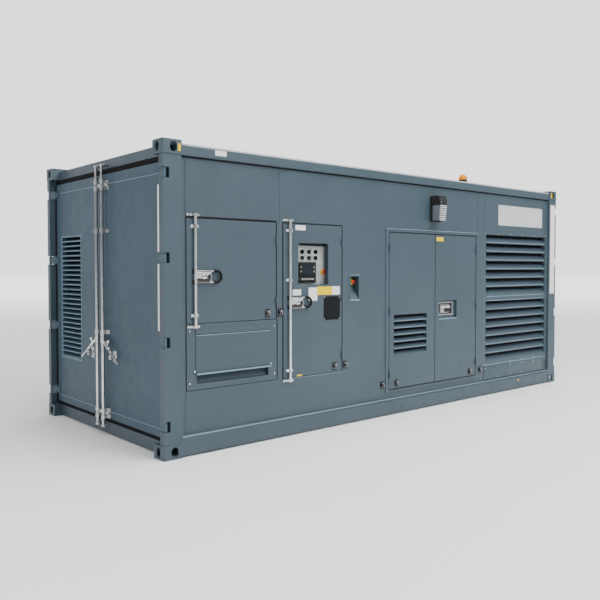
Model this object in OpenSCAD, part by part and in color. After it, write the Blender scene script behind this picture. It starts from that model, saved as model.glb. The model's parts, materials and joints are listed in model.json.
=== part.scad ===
// Containerised diesel generator: a 20 ft acoustic enclosure with end doors,
// a control door, a cable door, service doors and air inlet louvres.
// The near end faces -X, the equipped long side faces -Y, the ground is z = 0.

/* [Container] */
// Overall length over the corner castings
container_l = 6058; // [5900:1:6400]
// Overall width over the corner castings
container_w = 2438; // [2300:1:2600]
// Overall height over the corner castings
container_h = 2591; // [2540:1:2900]
// How far rails and posts stand inside the casting faces
frame_inset = 6; // [2:1:10]

/* [Corner castings] */
// Length of a casting along the container
cast_l = 178; // [170:1:190]
// Width of a casting across the container
cast_w = 162; // [155:1:175]
// Height of a casting
cast_h = 118; // [114:1:125]
// Wall of the end and side faces
cast_wall = 16; // [10:1:22]
// Wall of the two faces turned inwards
cast_inner_wall = 9; // [6:1:12]
// Thickness of the plate that holds the lock slot
cast_slot_plate = 28; // [20:1:34]
// Bevel of a casting's outer upright edge
cast_bevel = 12; // [6:1:20]
// Length of the lock slot
slot_l = 124; // [110:0.5:126]
// Width of the lock slot
slot_w = 63.5; // [50:0.5:70]
// Slot centre from the end face
slot_from_end = 102.5; // [98:0.5:104]
// Slot centre from the side face
slot_from_side = 89.5; // [82:0.5:95]
// Width of the lifting holes in the end and side faces
lift_hole_w = 62; // [40:1:70]
// Height of the lifting holes
lift_hole_h = 84; // [70:1:94]

/* [Frame] */
// Depth of a corner post across the container
post_w = 63; // [50:1:80]
// Height of the bottom side rail's upright face
bottom_rail_h = 150; // [140:1:190]
// Underside of the bottom rails and sills above the ground
ground_gap = 12; // [8:1:30]
// Height of the sloping ledge on the bottom side rail
ledge_h = 22; // [10:1:40]
// Diameter of an earth boss on the bottom rail
earth_d = 44; // [30:1:60]
// How far an earth boss stands out
earth_out = 5; // [3:0.5:5.5]
// Height of the earth bosses
earth_z = 70; // [50:1:110]
// Left earth boss from the service door frame's left edge
earth_from_frame = 238; // [100:1:500]
// Right earth boss from the louvre bay's right edge
earth_from_louvre = 706; // [400:1:900]
// Height of the top side rail
top_rail_h = 77; // [60:1:90]
// How far the end sills and headers stand back from the casting faces
end_setback = 80; // [70:1:90]
// Height of the end header
header_h = 87; // [60:1:95]
// Thickness of the floor plate
floor_t = 30; // [15:1:38]
// Number of floor cross members
cross_count = 9; // [4:1:14]
// Width of a floor cross member
cross_w = 60; // [40:1:100]
// Thickness of the roof panel
roof_t = 60; // [30:1:72]
// Thickness of the roof sheet
roof_sheet_t = 17; // [6:1:20]
// Overhang of the roof sheet over the rail, from the rail's face
roof_edge_inset = 10; // [4:1:30]

/* [Side walls] */
// How far the side panels stand back from the casting faces
panel_recess = 35; // [25:1:45]
// Thickness of the acoustic side wall
wall_t = 60; // [50:1:80]
// Drop of the door openings' tops below the top side rail
lintel_drop = 501; // [400:1:560]
// Gap round every side door
door_gap = 5; // [4:1:8]
// Thickness of a side door
side_door_t = 48; // [30:1:50]
// Width of the rubber seal behind a door's edge
seal_w = 14; // [8:1:25]
// Thickness of the rubber seal
seal_t = 7; // [3:1:8]

/* [Cable bay] */
// Left edge of the cable door opening, from the near end
cable_from_end = 234; // [200:1:320]
// Width of the cable door opening
cable_w = 950; // [850:1:960]
// Underside of the cable door opening
cable_z = 1088; // [1050:1:1200]
// Underside of the cable outlet panel
outlet_z = 539; // [480:1:600]
// How far the outlet panel stands proud of the wall
outlet_proud = 4; // [2:1:8]
// Left margin of the outlet's opening in its panel
outlet_margin_x = 96; // [60:1:150]
// Margin of the outlet's opening above and below
outlet_margin_z = 49; // [40:1:70]
// Height of the open cable slot under the hood
cable_slot_h = 85; // [60:1:120]
// How far the hood's lower lip stands out
hood_lip = 20; // [10:1:24]
// How far the hood laps over the panel round its opening
hood_lap = 10; // [6:1:20]
// Width of a hood's screw lug
hood_lug_w = 26; // [18:1:40]
// Height of a hood's screw lug
hood_lug_h = 34; // [24:1:50]
// Thickness of the hood plate
hood_t = 5; // [3:1:8]

/* [Control bay] */
// Width of the pillar between the cable bay and the control door
control_pillar = 79; // [60:1:150]
// Width of the control door opening
control_w = 755; // [700:1:800]
// Underside of the control door opening
control_z = 532; // [480:1:600]
// Left edge of the window, from the left edge of the opening
window_x = 184; // [150:1:230]
// Width of the window
window_w = 384; // [300:1:420]
// Drop of the window's top below the door opening's top
window_drop = 182; // [150:1:240]
// Height of the window
window_h = 394; // [300:1:420]
// Thickness of the window pane
pane_t = 6; // [3:1:10]
// How far the pane stands behind the door's face
pane_recess = 16; // [8:1:30]
// Distance of the control cabinet's front behind the wall's face
cabinet_back = 76; // [70:1:120]
// Depth of the control cabinet
cabinet_d = 350; // [200:1:500]
// Drop of the cabinet's top below the door opening's top
cabinet_drop = 10; // [5:1:80]
// Width of the controller module
controller_w = 205; // [120:1:220]
// Left edge of the controller from the window's left edge
controller_x = 63; // [30:1:90]
// Underside of the controller above the window's underside
controller_z = 24; // [10:1:60]
// Left switch from the window's left edge
switch_x = 101; // [60:1:120]
// Lower row of switches above the window's underside
switch_z = 256; // [230:1:280]
// Height from one row of switches to the next
switch_rise = 58; // [45:1:70]
// Panel's emergency stop from the window's left edge
panel_stop_x = 374; // [330:1:380]
// Panel's emergency stop above the window's underside
panel_stop_z = 120; // [80:1:200]
// Height of the controller module
controller_h = 185; // [120:1:200]
// How far the controller stands out of the cabinet
controller_d = 14; // [6:1:20]
// Diameter of a selector switch
switch_d = 34; // [20:1:40]
// Pitch of the selector switches
switch_pitch = 86; // [60:1:90]

/* [Emergency stop niche] */
// Left edge of the niche's flange, from the control door opening
niche_from_door = 97; // [80:1:160]
// Width of the niche's flange
niche_w = 156; // [130:1:180]
// Underside of the niche's flange
niche_z = 1225; // [1150:1:1300]
// Height of the niche's flange
niche_h = 265; // [220:1:300]
// Width of the flange round the niche
niche_rim = 16; // [10:1:24]
// Depth of the niche behind the wall's face
niche_d = 90; // [60:1:110]
// Rise of the niche's floor towards its back
niche_slope = 125; // [20:1:130]
// Sheet thickness of the niche
niche_t = 4; // [3:1:8]
// Diameter of an emergency stop's yellow base
stop_base_d = 60; // [40:1:70]
// Diameter of an emergency stop's head
stop_head_d = 40; // [25:1:48]
// How much an emergency stop's head narrows to its front
stop_taper = 8; // [2:1:14]
// How far an emergency stop stands out
stop_out = 26; // [18:1:40]
// Height of an emergency stop's base
stop_neck = 12; // [6:1:16]
// Niche's emergency stop to the right of the niche's middle
stop_right = 22; // [0:1:24]
// Drop of the niche's emergency stop below the flange's top
stop_drop = 74; // [60:1:120]

/* [Service doors] */
// Width of the wall between the control door and the service door frame
stop_pillar = 641; // [560:1:700]
// Width of the pillar between the large louvre and the service doors
louvre_pillar = 137; // [90:1:200]
// Width of the service door frame
service_w = 1630; // [1500:1:1650]
// Underside of the service door frame
service_z = 228; // [200:1:300]
// Width of the frame's members at the sides
service_jamb = 43; // [35:1:60]
// Height of the frame's members above and below
service_head = 38; // [30:1:60]
// How far the frame stands proud of the wall
service_proud = 10; // [6:1:14]
// How far the leaves stand behind the frame's face
service_leaf_recess = 2; // [0:0.5:4]
// Left edge of the louvre from the leaf's left edge
service_louvre_x = 56; // [40:1:90]
// Width of the louvre in the left leaf
service_louvre_w = 576; // [400:1:620]
// Underside of the louvre above the ground
service_louvre_z = 600; // [500:1:700]
// Height of the louvre
service_louvre_h = 468; // [350:1:550]
// Number of slats in the service louvre
service_slats = 6; // [4:1:9]
// Left edge of the handle tray from the leaf's left edge
tray_x = 58; // [40:1:90]
// Width of the handle tray
tray_w = 340; // [200:1:380]
// Underside of the handle tray above the ground
tray_z = 966; // [900:1:1050]
// Height of the handle tray
tray_h = 222; // [150:1:250]
// Depth of the handle tray
tray_d = 32; // [20:1:38]
// Sheet thickness of the handle tray
tray_t = 3; // [2:1:5]
// Left edge of the latch plate from the tray's left edge
latch_x = 26; // [10:1:60]
// Width of the latch plate
latch_w = 264; // [150:1:290]
// Underside of the latch plate above the tray's underside
latch_z = 50; // [30:1:80]
// Height of the latch plate
latch_h = 150; // [100:1:160]
// Thickness of the latch plate
latch_t = 6; // [4:1:10]
// Length of the latch lever
lever_l = 190; // [120:1:220]
// Height of the latch lever
lever_h = 96; // [60:1:110]
// Thickness of the latch lever
lever_t = 14; // [8:1:16]
// Width of the rim round the latch's plate
latch_rim = 12; // [6:1:20]
// Gap between the rim and the paddle's straight edge
lever_edge = 8; // [4:1:14]

/* [Louvre bay] */
// Right edge of the large louvre's frame, from the far end
louvre_from_end = 199; // [190:1:260]
// Underside of the large louvre's frame
louvre_z = 358; // [300:1:400]
// Drop of the louvre frame's top below the top side rail
louvre_drop = 473; // [400:1:560]
// Width of the frame's members
louvre_rim = 36; // [25:1:50]
// Height of the middle rail
louvre_mid_h = 66; // [40:1:90]
// Blades in each bank
louvre_blades = 7; // [5:1:10]
// Thickness of a louvre blade
blade_t = 4; // [3:1:6]
// Height of the folded lip on a blade's outer edge
blade_lip = 16; // [8:1:24]
// Rise of a blade, as a share of the blades' pitch
blade_rise = 0.72; // [0.5:0.02:0.95]

/* [End doors] */
// How far the leaves stand back from the casting faces
leaf_setback = 70; // [64:1:78]
// Thickness of a leaf
leaf_t = 60; // [50:1:64]
// Half of the gap between the two leaves
leaf_gap = 4; // [3:0.5:6]
// Gap between a leaf and its post
leaf_post_gap = 5; // [4:1:8]
// Underside of the leaves
leaf_z = 155; // [140:1:180]
// Gap between the leaves and the header
leaf_head_gap = 51; // [35:1:90]
// Gap between a door gasket and the end frame
gasket_gap = 5; // [3:1:8]
// Thickness of the door gasket
gasket_t = 34; // [20:1:40]
// Number of ribs on a gasket's face
gasket_ribs = 3; // [2:1:5]
// Groove between neighbouring ribs
gasket_groove = 2; // [1:0.5:4]
// Width of the lip along a leaf's hinge edge
lip_w = 30; // [15:1:45]
// Thickness of the lip
lip_t = 6; // [3:1:8]
// Louvre's near edge from the middle of the container
leaf_louvre_y = 510; // [400:1:560]
// Distance of the leaf's louvre from the hinge edge
leaf_louvre_from_hinge = 150; // [100:1:260]
// Underside of the leaf's louvre
leaf_louvre_z = 633; // [600:1:700]
// Height of the leaf's louvre
leaf_louvre_h = 1247; // [900:1:1300]
// Number of slats in the leaf's louvre
leaf_slats = 25; // [12:1:30]
// Width of a louvre's own rim in a door
door_louvre_rim = 14; // [10:1:20]
// Thickness of a slat
slat_t = 3; // [2:1:4]
// Height of the folded lip on a slat's outer edge
slat_lip = 12; // [6:1:16]
// Rise of a slat, as a share of the slats' pitch
slat_rise = 0.64; // [0.5:0.02:0.95]

/* [End hinges] */
// Number of hinges on a post
hinge_count = 4; // [3:1:5]
// Distance of the outer hinges from the castings
hinge_margin = 153; // [120:1:200]
// Height of a hinge notch in the post
notch_h = 86; // [70:1:110]
// Depth of a hinge notch from the post's end face
notch_d = 60; // [52:1:75]
// Hinge pin from the casting's end face
hinge_from_end = 29; // [26:1:34]
// Hinge pin from the casting's side face
hinge_from_side = 29; // [26:1:34]
// Diameter of the hinge pin
hinge_pin_d = 20; // [14:1:24]
// Diameter of the hinge barrel
hinge_barrel_d = 36; // [30:1:42]
// Length of the hinge blade over the leaf
hinge_blade_l = 90; // [60:1:140]
// Length of the hinge blade's full height over the leaf
hinge_root = 24; // [15:1:40]
// Height of the hinge blade's tip
hinge_tip_h = 30; // [20:1:50]
// Thickness of the hinge blade on the leaf
hinge_blade_t = 12; // [8:1:16]
// Running clearance between pins and their bores
pin_clear = 0.4; // [0.1:0.1:1]
// End clearance of a hinge barrel
barrel_clear = 4; // [2:1:6]

/* [End lock gear] */
// Lock rod from the middle of the container
rod_y = 60; // [50:1:80]
// Lock rod from the casting's end face
rod_from_end = 27; // [25:1:32]
// Diameter of an end lock rod
rod_d = 30; // [24:1:34]
// How far the end lock rods reach over the sill and the header
rod_reach = 36; // [28:1:60]
// Distance of the long rod guides from the leaf's ends
long_guide_margin = 100; // [60:1:140]
// Height of the short guide above the handle
guide_over_handle = 32; // [28:1:60]
// Drop of the upper short guide below the header
guide_drop = 574; // [450:1:700]
// Height of a short rod guide
guide_h = 40; // [25:1:60]
// Height of a long rod guide
long_guide_h = 96; // [70:1:100]
// Width of a rod guide
guide_w = 52; // [46:1:60]
// Clearance between a rod and its guides
rod_clear = 0.5; // [0.3:0.1:1]
// Height of one saddle of a guide
guide_saddle_h = 34; // [20:1:40]
// Thickness of a guide's plate
guide_plate_t = 8; // [4:1:10]
// Ear of a guide's plate towards the middle
guide_ear_in = 10; // [6:1:16]
// Ear of a guide's plate towards the hinges
guide_ear_out = 44; // [30:1:60]
// How much narrower a saddle's round front is than its foot
saddle_step = 8; // [4:1:14]
// Diameter of a locking cam
cam_d = 42; // [36:1:46]
// Height of a locking cam
cam_h = 22; // [14:1:30]
// Gap between a cam and its keeper
cam_gap = 5; // [4:0.5:8]
// Thickness of a keeper's lugs
keeper_t = 8; // [5:1:12]
// Thickness of a keeper's plate
keeper_plate_t = 5; // [3:1:6]
// Height of the handle's hub above the ground
handle_z = 930; // [880:1:940]
// Drop of the handle's hub below the guide's level
handle_hub_drop = 30; // [24:1:50]
// Height of the handle's hub
handle_hub_h = 40; // [24:1:44]
// Diameter of the handle's end knob
handle_knob_d = 24; // [18:1:28]
// Length of the handle's end knob
handle_knob_l = 70; // [40:1:100]
// Distance of the catch along the handle
catch_at = 205; // [150:1:260]
// Width of the catch's plate
catch_w = 64; // [50:1:80]
// Drop of the catch's plate below its arm
catch_h = 72; // [50:1:90]
// Width of the catch's arm
catch_arm_w = 26; // [18:1:34]
// Thickness of the catch's arm and eye
catch_arm_t = 8; // [6:1:10]
// Diameter of the catch's padlock eye
catch_eye_d = 46; // [36:1:56]
// Clearance between the handle and the catch
catch_gap = 6; // [5:1:10]
// Length of an end handle
handle_l = 390; // [300:1:420]
// Angle of an end handle below the level
handle_drop = 32; // [20:1:45]
// Diameter of an end handle's bar
handle_d = 18; // [14:1:22]

/* [Side lock gear] */
// Lock rod from the wall's face
side_rod_out = 21; // [19:1:24]
// Diameter of a side lock rod
side_rod_d = 22; // [16:1:24]
// Cable door's rod from the left edge of its opening
cable_rod_x = 78; // [60:1:110]
// Control door's rod from the left edge of its opening
control_rod_x = 71; // [60:1:110]
// Distance of a side rod's outer guides from the door opening's ends
side_guide_margin = 72; // [55:1:110]
// Height of the control rod's middle guide above the handle
control_guide_rise = 210; // [160:1:260]
// How far a side guide's foot stands past the rod
side_guide_foot = 6; // [4:1:10]
// Wall of a side guide round the rod
side_guide_wall = 2.5; // [2:0.5:3]
// Thickness of a side guide's ears
side_ear_t = 4; // [2:1:6]
// Distance of a side guide's ears from its ends
side_ear_margin = 6; // [3:1:12]
// How far a side rod reaches past its door
side_rod_over = 38; // [30:1:48]
// Height of the cable door's handle
cable_handle_z = 1483; // [1400:1:1560]
// Height of the control door's handle
control_handle_z = 1233; // [1150:1:1290]
// Length of a handle's steel plate
grip_plate_l = 142; // [100:1:170]
// Length of a handle with its rubber loop
grip_l = 262; // [200:1:290]
// Height of a handle's rubber loop
grip_h = 104; // [80:1:120]
// Wall of the handle's hub round a side rod
grip_hub_wall = 2; // [1:0.5:2.5]
// Thickness of a handle's plate
grip_t = 10; // [6:1:14]

/* [Side hinges] */
// Distance of the outer hinges from a door opening's ends
side_hinge_margin = 165; // [100:1:220]
// Diameter of a side door's hinge knuckle
knuckle_d = 17; // [14:1:20]
// Height of one knuckle
knuckle_h = 26; // [18:1:40]
// Diameter of a side hinge pin
side_pin_d = 9; // [6:1:11]
// Hinge axis from the face that it stands on
side_pin_out = 9; // [8.6:0.1:10.4]
// Width of a hinge plate
hinge_plate_w = 14; // [11:1:30]
// Thickness of a hinge plate
hinge_plate_t = 3; // [2:1:5]
// Gap between neighbouring knuckles
knuckle_gap = 0.5; // [0.2:0.1:2]
// Height of a hold-open clip
clip_h = 52; // [40:1:60]
// Width of a hold-open clip
clip_w = 50; // [36:1:60]
// Thickness of a clip's plate
clip_plate_t = 5; // [3:1:8]
// Distance of a clip's jaw from the plate's edges
clip_edge = 9; // [5:1:14]
// Width of the groove in a clip's jaw
clip_groove = 12; // [6:1:16]
// How far a hold-open clip stands out
clip_out = 24; // [15:1:26]
// A door's clip from its hinge pin
clip_from_pin = 101; // [80:1:130]
// A wall's clip from the hinge pin
wall_clip_from_pin = 45; // [40:1:52]
// A service leaf's clip from its hinge pin
service_clip_from_pin = 116; // [90:1:140]
// A service door's wall clip from the hinge pin
service_wall_clip_from_pin = 100; // [85:1:120]
// Height of a clip above the underside of its door opening
clip_rise = 60; // [40:1:90]

/* [Light and beacon] */
// Left edge of the wall light, from the service frame's left edge
light_from_frame = 723; // [600:1:900]
// Width of the wall light
light_w = 130; // [100:1:180]
// Depth of the wall light
light_d = 146; // [110:1:180]
// Height of the wall light above the door openings' tops
light_rise = 101; // [60:1:140]
// Height of the wall light
light_h = 282; // [220:1:320]
// Depth of the light's back box
light_box_d = 56; // [40:1:80]
// Slope of the light's hood and lens
light_slope = 26; // [10:1:50]
// Inset of the light's lens from the housing
light_lens_inset = 6; // [3:1:12]
// Height of the light's top hood
light_hood_h = 100; // [70:1:130]
// Beacon's place from the far end
beacon_from_end = 1955; // [1700:1:2300]
// Beacon's place from the side face
beacon_from_side = 119; // [90:1:300]
// Diameter of the beacon's dome
beacon_d = 95; // [70:1:120]
// Width and thickness of the beacon base's flange
beacon_flange = 6; // [3:1:10]
// Height of the beacon's base
beacon_base_h = 25; // [15:1:40]
// Height of the beacon's dome
beacon_h = 80; // [60:1:110]

/* [Hidden] */
$fn = 48;
eps = 1;
half_l = container_l / 2;
half_w = container_w / 2;
// Side wall planes, on the equipped side
wall_y = -half_w + panel_recess;
wall_in = wall_y + wall_t;
// Frame planes
frame_x = -half_l + frame_inset;
frame_y = -half_w + frame_inset;
post_x1 = -half_l + cast_l;
post_y1 = frame_y + post_w;
rail_top = bottom_rail_h + ledge_h;
post_top = container_h - cast_h;
roof_z = post_top + top_rail_h;
header_top = post_top + header_h;
end_x = -half_l + end_setback;
end_x1 = post_x1;
floor_z = rail_top - floor_t;
inner_y = half_w - cast_w;
// End leaf planes
leaf_x = -half_l + leaf_setback;
leaf_x1 = leaf_x + leaf_t;
leaf_y = -post_y1 - leaf_post_gap;
leaf_louvre_w = leaf_y - leaf_louvre_from_hinge - leaf_louvre_y;
hinge_x = -half_l + hinge_from_end;
hinge_y = half_w - hinge_from_side;
rod_x = -half_l + rod_from_end;
// Left and right edges of the bays
cable_x = -half_l + cable_from_end;
cable_x1 = cable_x + cable_w;
control_x = cable_x1 + control_pillar;
control_x1 = control_x + control_w;
service_x = control_x1 + stop_pillar;
service_x1 = service_x + service_w;
louvre_x = service_x1 + louvre_pillar;
louvre_x1 = half_l - louvre_from_end;
niche_x = control_x1 + niche_from_door;
light_x = service_x + light_from_frame;
beacon_x = half_l - beacon_from_end;
beacon_y = -half_w + beacon_from_side;
// Heights taken from the top side rail
lintel_z = post_top - lintel_drop;
window_z = lintel_z - window_drop - window_h;
louvre_top = post_top - louvre_drop;
louvre_mid_z = (louvre_z + louvre_top - louvre_mid_h) / 2;
leaf_top = post_top - leaf_head_gap;
light_z = lintel_z + light_rise;
// Heights of the end hinges, lock rods and guides
hinge_pitch = (post_top - cast_h - 2 * hinge_margin) / (hinge_count - 1);
hinge_levels = [for (i = [0 : hinge_count - 1]) cast_h + hinge_margin + i * hinge_pitch];
rod_z = cast_h - rod_reach;
rod_top = post_top + rod_reach;
handle_hub_z = handle_z - handle_hub_drop;
guide_levels = [handle_z + guide_over_handle, post_top - guide_drop];
long_guide_levels = [leaf_z + long_guide_margin / 2, leaf_top - long_guide_margin];
// Service leaves
service_face = wall_y - service_proud;
leaf_face = service_face + service_leaf_recess;
leaf_in_x = service_x + service_jamb;
leaf_in_x1 = service_x1 - service_jamb;
leaf_in_z = service_z + service_head;
leaf_in_z1 = lintel_z - service_head;
leaf_mid_x = (leaf_in_x + leaf_in_x1) / 2;
// Side rods
side_rod_y = wall_y - side_rod_out;
cable_rod = cable_x + cable_rod_x;
control_rod = control_x + control_rod_x;
// Side hinge axes
cable_pin_x = cable_x1 - door_gap / 2;
control_pin_x = control_x1 - door_gap / 2;
wall_pin_y = wall_y - side_pin_out;
service_pin_y = service_face - side_pin_out;
service_pin_left = leaf_in_x + door_gap / 2;
service_pin_right = leaf_in_x1 - door_gap / 2;
function outer_levels(low, high) = [low + side_hinge_margin, high - side_hinge_margin];
function three_levels(low, high) = concat(outer_levels(low, high), [(low + high) / 2]);
cable_hinges = outer_levels(cable_z, lintel_z);
control_hinges = three_levels(control_z, lintel_z);
service_hinges = three_levels(leaf_in_z, leaf_in_z1);
// Heights of the hold-open clips
cable_clip_z = cable_z + clip_rise;
control_clip_z = control_z + clip_rise;
service_clip_z = leaf_in_z + clip_rise;
cabinet_y = wall_y + cabinet_back;
stop_z = niche_z + niche_h - stop_drop;
window_left = control_x + window_x;

paint = [0.40, 0.47, 0.51];
dark_paint = [0.33, 0.39, 0.43];
steel = [0.78, 0.79, 0.78];
rubber = [0.08, 0.08, 0.09];
grey = [0.72, 0.73, 0.72];

// A box between two corners
module block(x0, x1, y0, y1, z0, z1) {
  translate([x0, y0, z0]) cube([x1 - x0, y1 - y0, z1 - z0]);
}

module both_sides() {
  children();
  mirror([0, 1, 0]) children();
}

module both_ends() {
  children();
  mirror([1, 0, 0]) children();
}

// A profile in Y and Z drawn out along X
module along_x(x0, x1) {
  translate([x0, 0, 0]) rotate([90, 0, 90]) linear_extrude(x1 - x0) children();
}

// A round-ended hole through Z, its length along X
module slot_hole(length, width, depth) {
  run = length - width;
  translate([-run / 2, -width / 2, 0]) cube([run, width, depth]);
  for (side = [-1, 1])
    translate([side * run / 2, 0, 0]) cylinder(d = width, h = depth);
}

// One casting with its outer corner at the origin, the slot face down
module casting() {
  difference() {
    linear_extrude(cast_h)
      polygon([[cast_bevel, 0], [cast_l, 0], [cast_l, cast_w], [0, cast_w], [0, cast_bevel]]);
    translate([cast_wall, cast_wall, cast_slot_plate])
      cube([cast_l - cast_wall - cast_inner_wall, cast_w - cast_wall - cast_inner_wall,
            cast_h - cast_slot_plate - cast_inner_wall]);
    translate([slot_from_end, slot_from_side, -eps])
      slot_hole(slot_l, slot_w, cast_slot_plate + 2 * eps);
    translate([slot_from_end, -eps, cast_h / 2]) rotate([-90, 90, 0])
      slot_hole(lift_hole_h, lift_hole_w, cast_wall + 2 * eps);
    translate([-eps, slot_from_side, cast_h / 2]) rotate([0, 90, 0])
      slot_hole(lift_hole_h, lift_hole_w, cast_wall + 2 * eps);
  }
}

module corner_castings() {
  color(paint) both_ends() both_sides() {
    translate([-half_l, -half_w, 0]) casting();
    translate([-half_l, -half_w, container_h]) mirror([0, 0, 1]) casting();
  }
}

module corner_post() {
  difference() {
    block(frame_x, post_x1, frame_y, post_y1, cast_h, post_top);
    for (level = hinge_levels)
      block(frame_x - eps, frame_x + notch_d, frame_y - eps, post_y1 + eps,
            level - notch_h / 2, level + notch_h / 2);
  }
  for (level = hinge_levels)
    translate([hinge_x, -hinge_y, level - notch_h / 2]) cylinder(d = hinge_pin_d, h = notch_h);
}

module corner_posts() {
  color(paint) both_ends() both_sides() corner_post();
}

module bottom_side_rails() {
  color(paint) {
    both_sides() along_x(post_x1, -post_x1)
      polygon([[frame_y, ground_gap], [frame_y, bottom_rail_h], [wall_y, rail_top],
               [wall_in, rail_top], [wall_in, ground_gap]]);
    for (x = [service_x + earth_from_frame, louvre_x1 - earth_from_louvre])
      translate([x, frame_y + eps, earth_z]) rotate([90, 0, 0])
        cylinder(d = earth_d, h = earth_out + eps);
  }
}

module top_side_rails() {
  color(paint) both_sides() block(post_x1, -post_x1, frame_y, wall_in, post_top, roof_z);
}

module end_rails() {
  color(dark_paint) both_ends() {
    block(end_x, end_x1, -inner_y, inner_y, ground_gap, cast_h);
    block(end_x, end_x1, -inner_y, inner_y, post_top, header_top);
  }
}

module cross_members() {
  span = -2 * end_x1;
  pitch = span / (cross_count + 1);
  color(dark_paint) for (i = [1 : cross_count])
    block(end_x1 + i * pitch - cross_w / 2, end_x1 + i * pitch + cross_w / 2,
          wall_in, -wall_in, ground_gap, floor_z);
}

module floor() {
  color("dimgray") block(post_x1, -post_x1, wall_in, -wall_in, floor_z, rail_top);
}

module roof() {
  color(paint) block(end_x1, -end_x1, wall_in, -wall_in, roof_z - roof_t, roof_z);
}

module roof_sheet() {
  edge = frame_y + roof_edge_inset;
  color("lightgray") block(post_x1, -post_x1, edge, -edge, roof_z, roof_z + roof_sheet_t);
}

module wall_slab(x0, x1, z0, z1) {
  block(x0, x1, wall_y, wall_in, z0, z1);
}

module front_wall_pillars() {
  color(paint) {
    wall_slab(post_x1, cable_x, rail_top, post_top);
    wall_slab(cable_x1, control_x, rail_top, post_top);
    difference() {
      wall_slab(control_x1, service_x, rail_top, post_top);
      block(niche_x + niche_rim, niche_x + niche_w - niche_rim, wall_y - eps, wall_in + eps,
            niche_z + niche_rim, niche_z + niche_h - niche_rim);
    }
    wall_slab(service_x1, louvre_x, rail_top, post_top);
    wall_slab(louvre_x1, -post_x1, rail_top, post_top);
  }
}

module front_wall_panels() {
  color(paint) {
    wall_slab(cable_x, cable_x1, rail_top, outlet_z);
    wall_slab(cable_x, cable_x1, lintel_z, post_top);
    wall_slab(control_x, control_x1, rail_top, control_z);
    wall_slab(control_x, control_x1, lintel_z, post_top);
    service_and_louvre_panels();
  }
}

module service_and_louvre_panels() {
  wall_slab(service_x, service_x1, rail_top, service_z);
  wall_slab(service_x, service_x1, lintel_z, post_top);
  wall_slab(louvre_x, louvre_x1, rail_top, louvre_z);
  wall_slab(louvre_x, louvre_x1, louvre_top, post_top);
}

module rear_wall_pillars() {
  color(paint) mirror([0, 1, 0]) {
    wall_slab(post_x1, service_x, rail_top, post_top);
    wall_slab(service_x1, louvre_x, rail_top, post_top);
    wall_slab(louvre_x1, -post_x1, rail_top, post_top);
  }
}

module rear_wall_panels() {
  color(paint) mirror([0, 1, 0]) service_and_louvre_panels();
}

// One bank of sloping blades, each with a folded lip on its outer edge
module blade_bank(x0, x1, z0, z1, count) {
  pitch = (z1 - z0) / count;
  for (i = [0 : count - 1])
    translate([0, 0, z0 + i * pitch]) along_x(x0, x1)
      polygon([[wall_y, 0], [wall_y, blade_lip], [wall_in - blade_t, pitch * blade_rise],
               [wall_in, pitch * blade_rise], [wall_y + blade_t, blade_lip - blade_t],
               [wall_y + blade_t, 0]]);
}

module large_louvre() {
  in_x = louvre_x + louvre_rim;
  in_x1 = louvre_x1 - louvre_rim;
  difference() {
    wall_slab(louvre_x, louvre_x1, louvre_z, louvre_top);
    block(in_x, in_x1, wall_y - eps, wall_in + eps, louvre_z + louvre_rim, louvre_mid_z);
    block(in_x, in_x1, wall_y - eps, wall_in + eps,
          louvre_mid_z + louvre_mid_h, louvre_top - louvre_rim);
  }
  blade_bank(in_x - eps, in_x1 + eps, louvre_z + louvre_rim, louvre_mid_z, louvre_blades);
  blade_bank(in_x - eps, in_x1 + eps, louvre_mid_z + louvre_mid_h, louvre_top - louvre_rim,
             louvre_blades);
}

module front_louvre() {
  color(paint) large_louvre();
}

module rear_louvre() {
  color(paint) mirror([0, 1, 0]) large_louvre();
}

module service_surround() {
  difference() {
    block(service_x, service_x1, service_face, wall_in, service_z, lintel_z);
    block(leaf_in_x, leaf_in_x1, service_face - eps, wall_in + eps, leaf_in_z, leaf_in_z1);
  }
}

module service_frame() {
  color(dark_paint) service_surround();
}

module service_leaf(x0, x1) {
  block(x0, x1, leaf_face, leaf_face + side_door_t,
        leaf_in_z + door_gap, leaf_in_z1 - door_gap);
}

module rear_service_doors() {
  color(dark_paint) mirror([0, 1, 0]) {
    service_surround();
    service_leaf(leaf_in_x + door_gap, leaf_mid_x - door_gap / 2);
    service_leaf(leaf_mid_x + door_gap / 2, leaf_in_x1 - door_gap);
  }
}

module rear_hinges() {
  color(dark_paint) mirror([0, 1, 0]) for (level = service_hinges) {
    fixed_hinge(service_pin_left, service_pin_y, service_face, level, -1);
    fixed_hinge(service_pin_right, service_pin_y, service_face, level, 1);
    door_hinge(service_pin_left, service_pin_y, leaf_face, level, -1);
    door_hinge(service_pin_right, service_pin_y, leaf_face, level, 1);
  }
}

module outlet_panel() {
  color(dark_paint) difference() {
    block(cable_x, cable_x1, wall_y - outlet_proud, wall_in, outlet_z, cable_z);
    block(cable_x + outlet_margin_x, cable_x1 - outlet_margin_x, wall_y - outlet_proud - eps,
          wall_in + eps, outlet_z + outlet_margin_z, cable_z - outlet_margin_z);
  }
}

module cable_hood() {
  hood_z = outlet_z + outlet_margin_z + cable_slot_h;
  hood_z1 = cable_z - outlet_margin_z;
  face = wall_y - outlet_proud;
  front = face - hood_t;
  left = cable_x + outlet_margin_x;
  right = cable_x1 - outlet_margin_x;
  color(dark_paint) {
    along_x(left - hood_lap, right + hood_lap)
      polygon([[face, hood_z], [face, hood_z1 + hood_lap], [front, hood_z1 + hood_lap],
               [front, hood_z + hood_t], [front - hood_lip, hood_z],
               [front - hood_lip, hood_z - hood_t], [front, hood_z - hood_t / 2]]);
    for (x = [left - hood_lap - hood_lug_w, right + hood_lap - eps])
      block(x, x + hood_lug_w + eps, front, face, hood_z, hood_z + hood_lug_h);
  }
}

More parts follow.
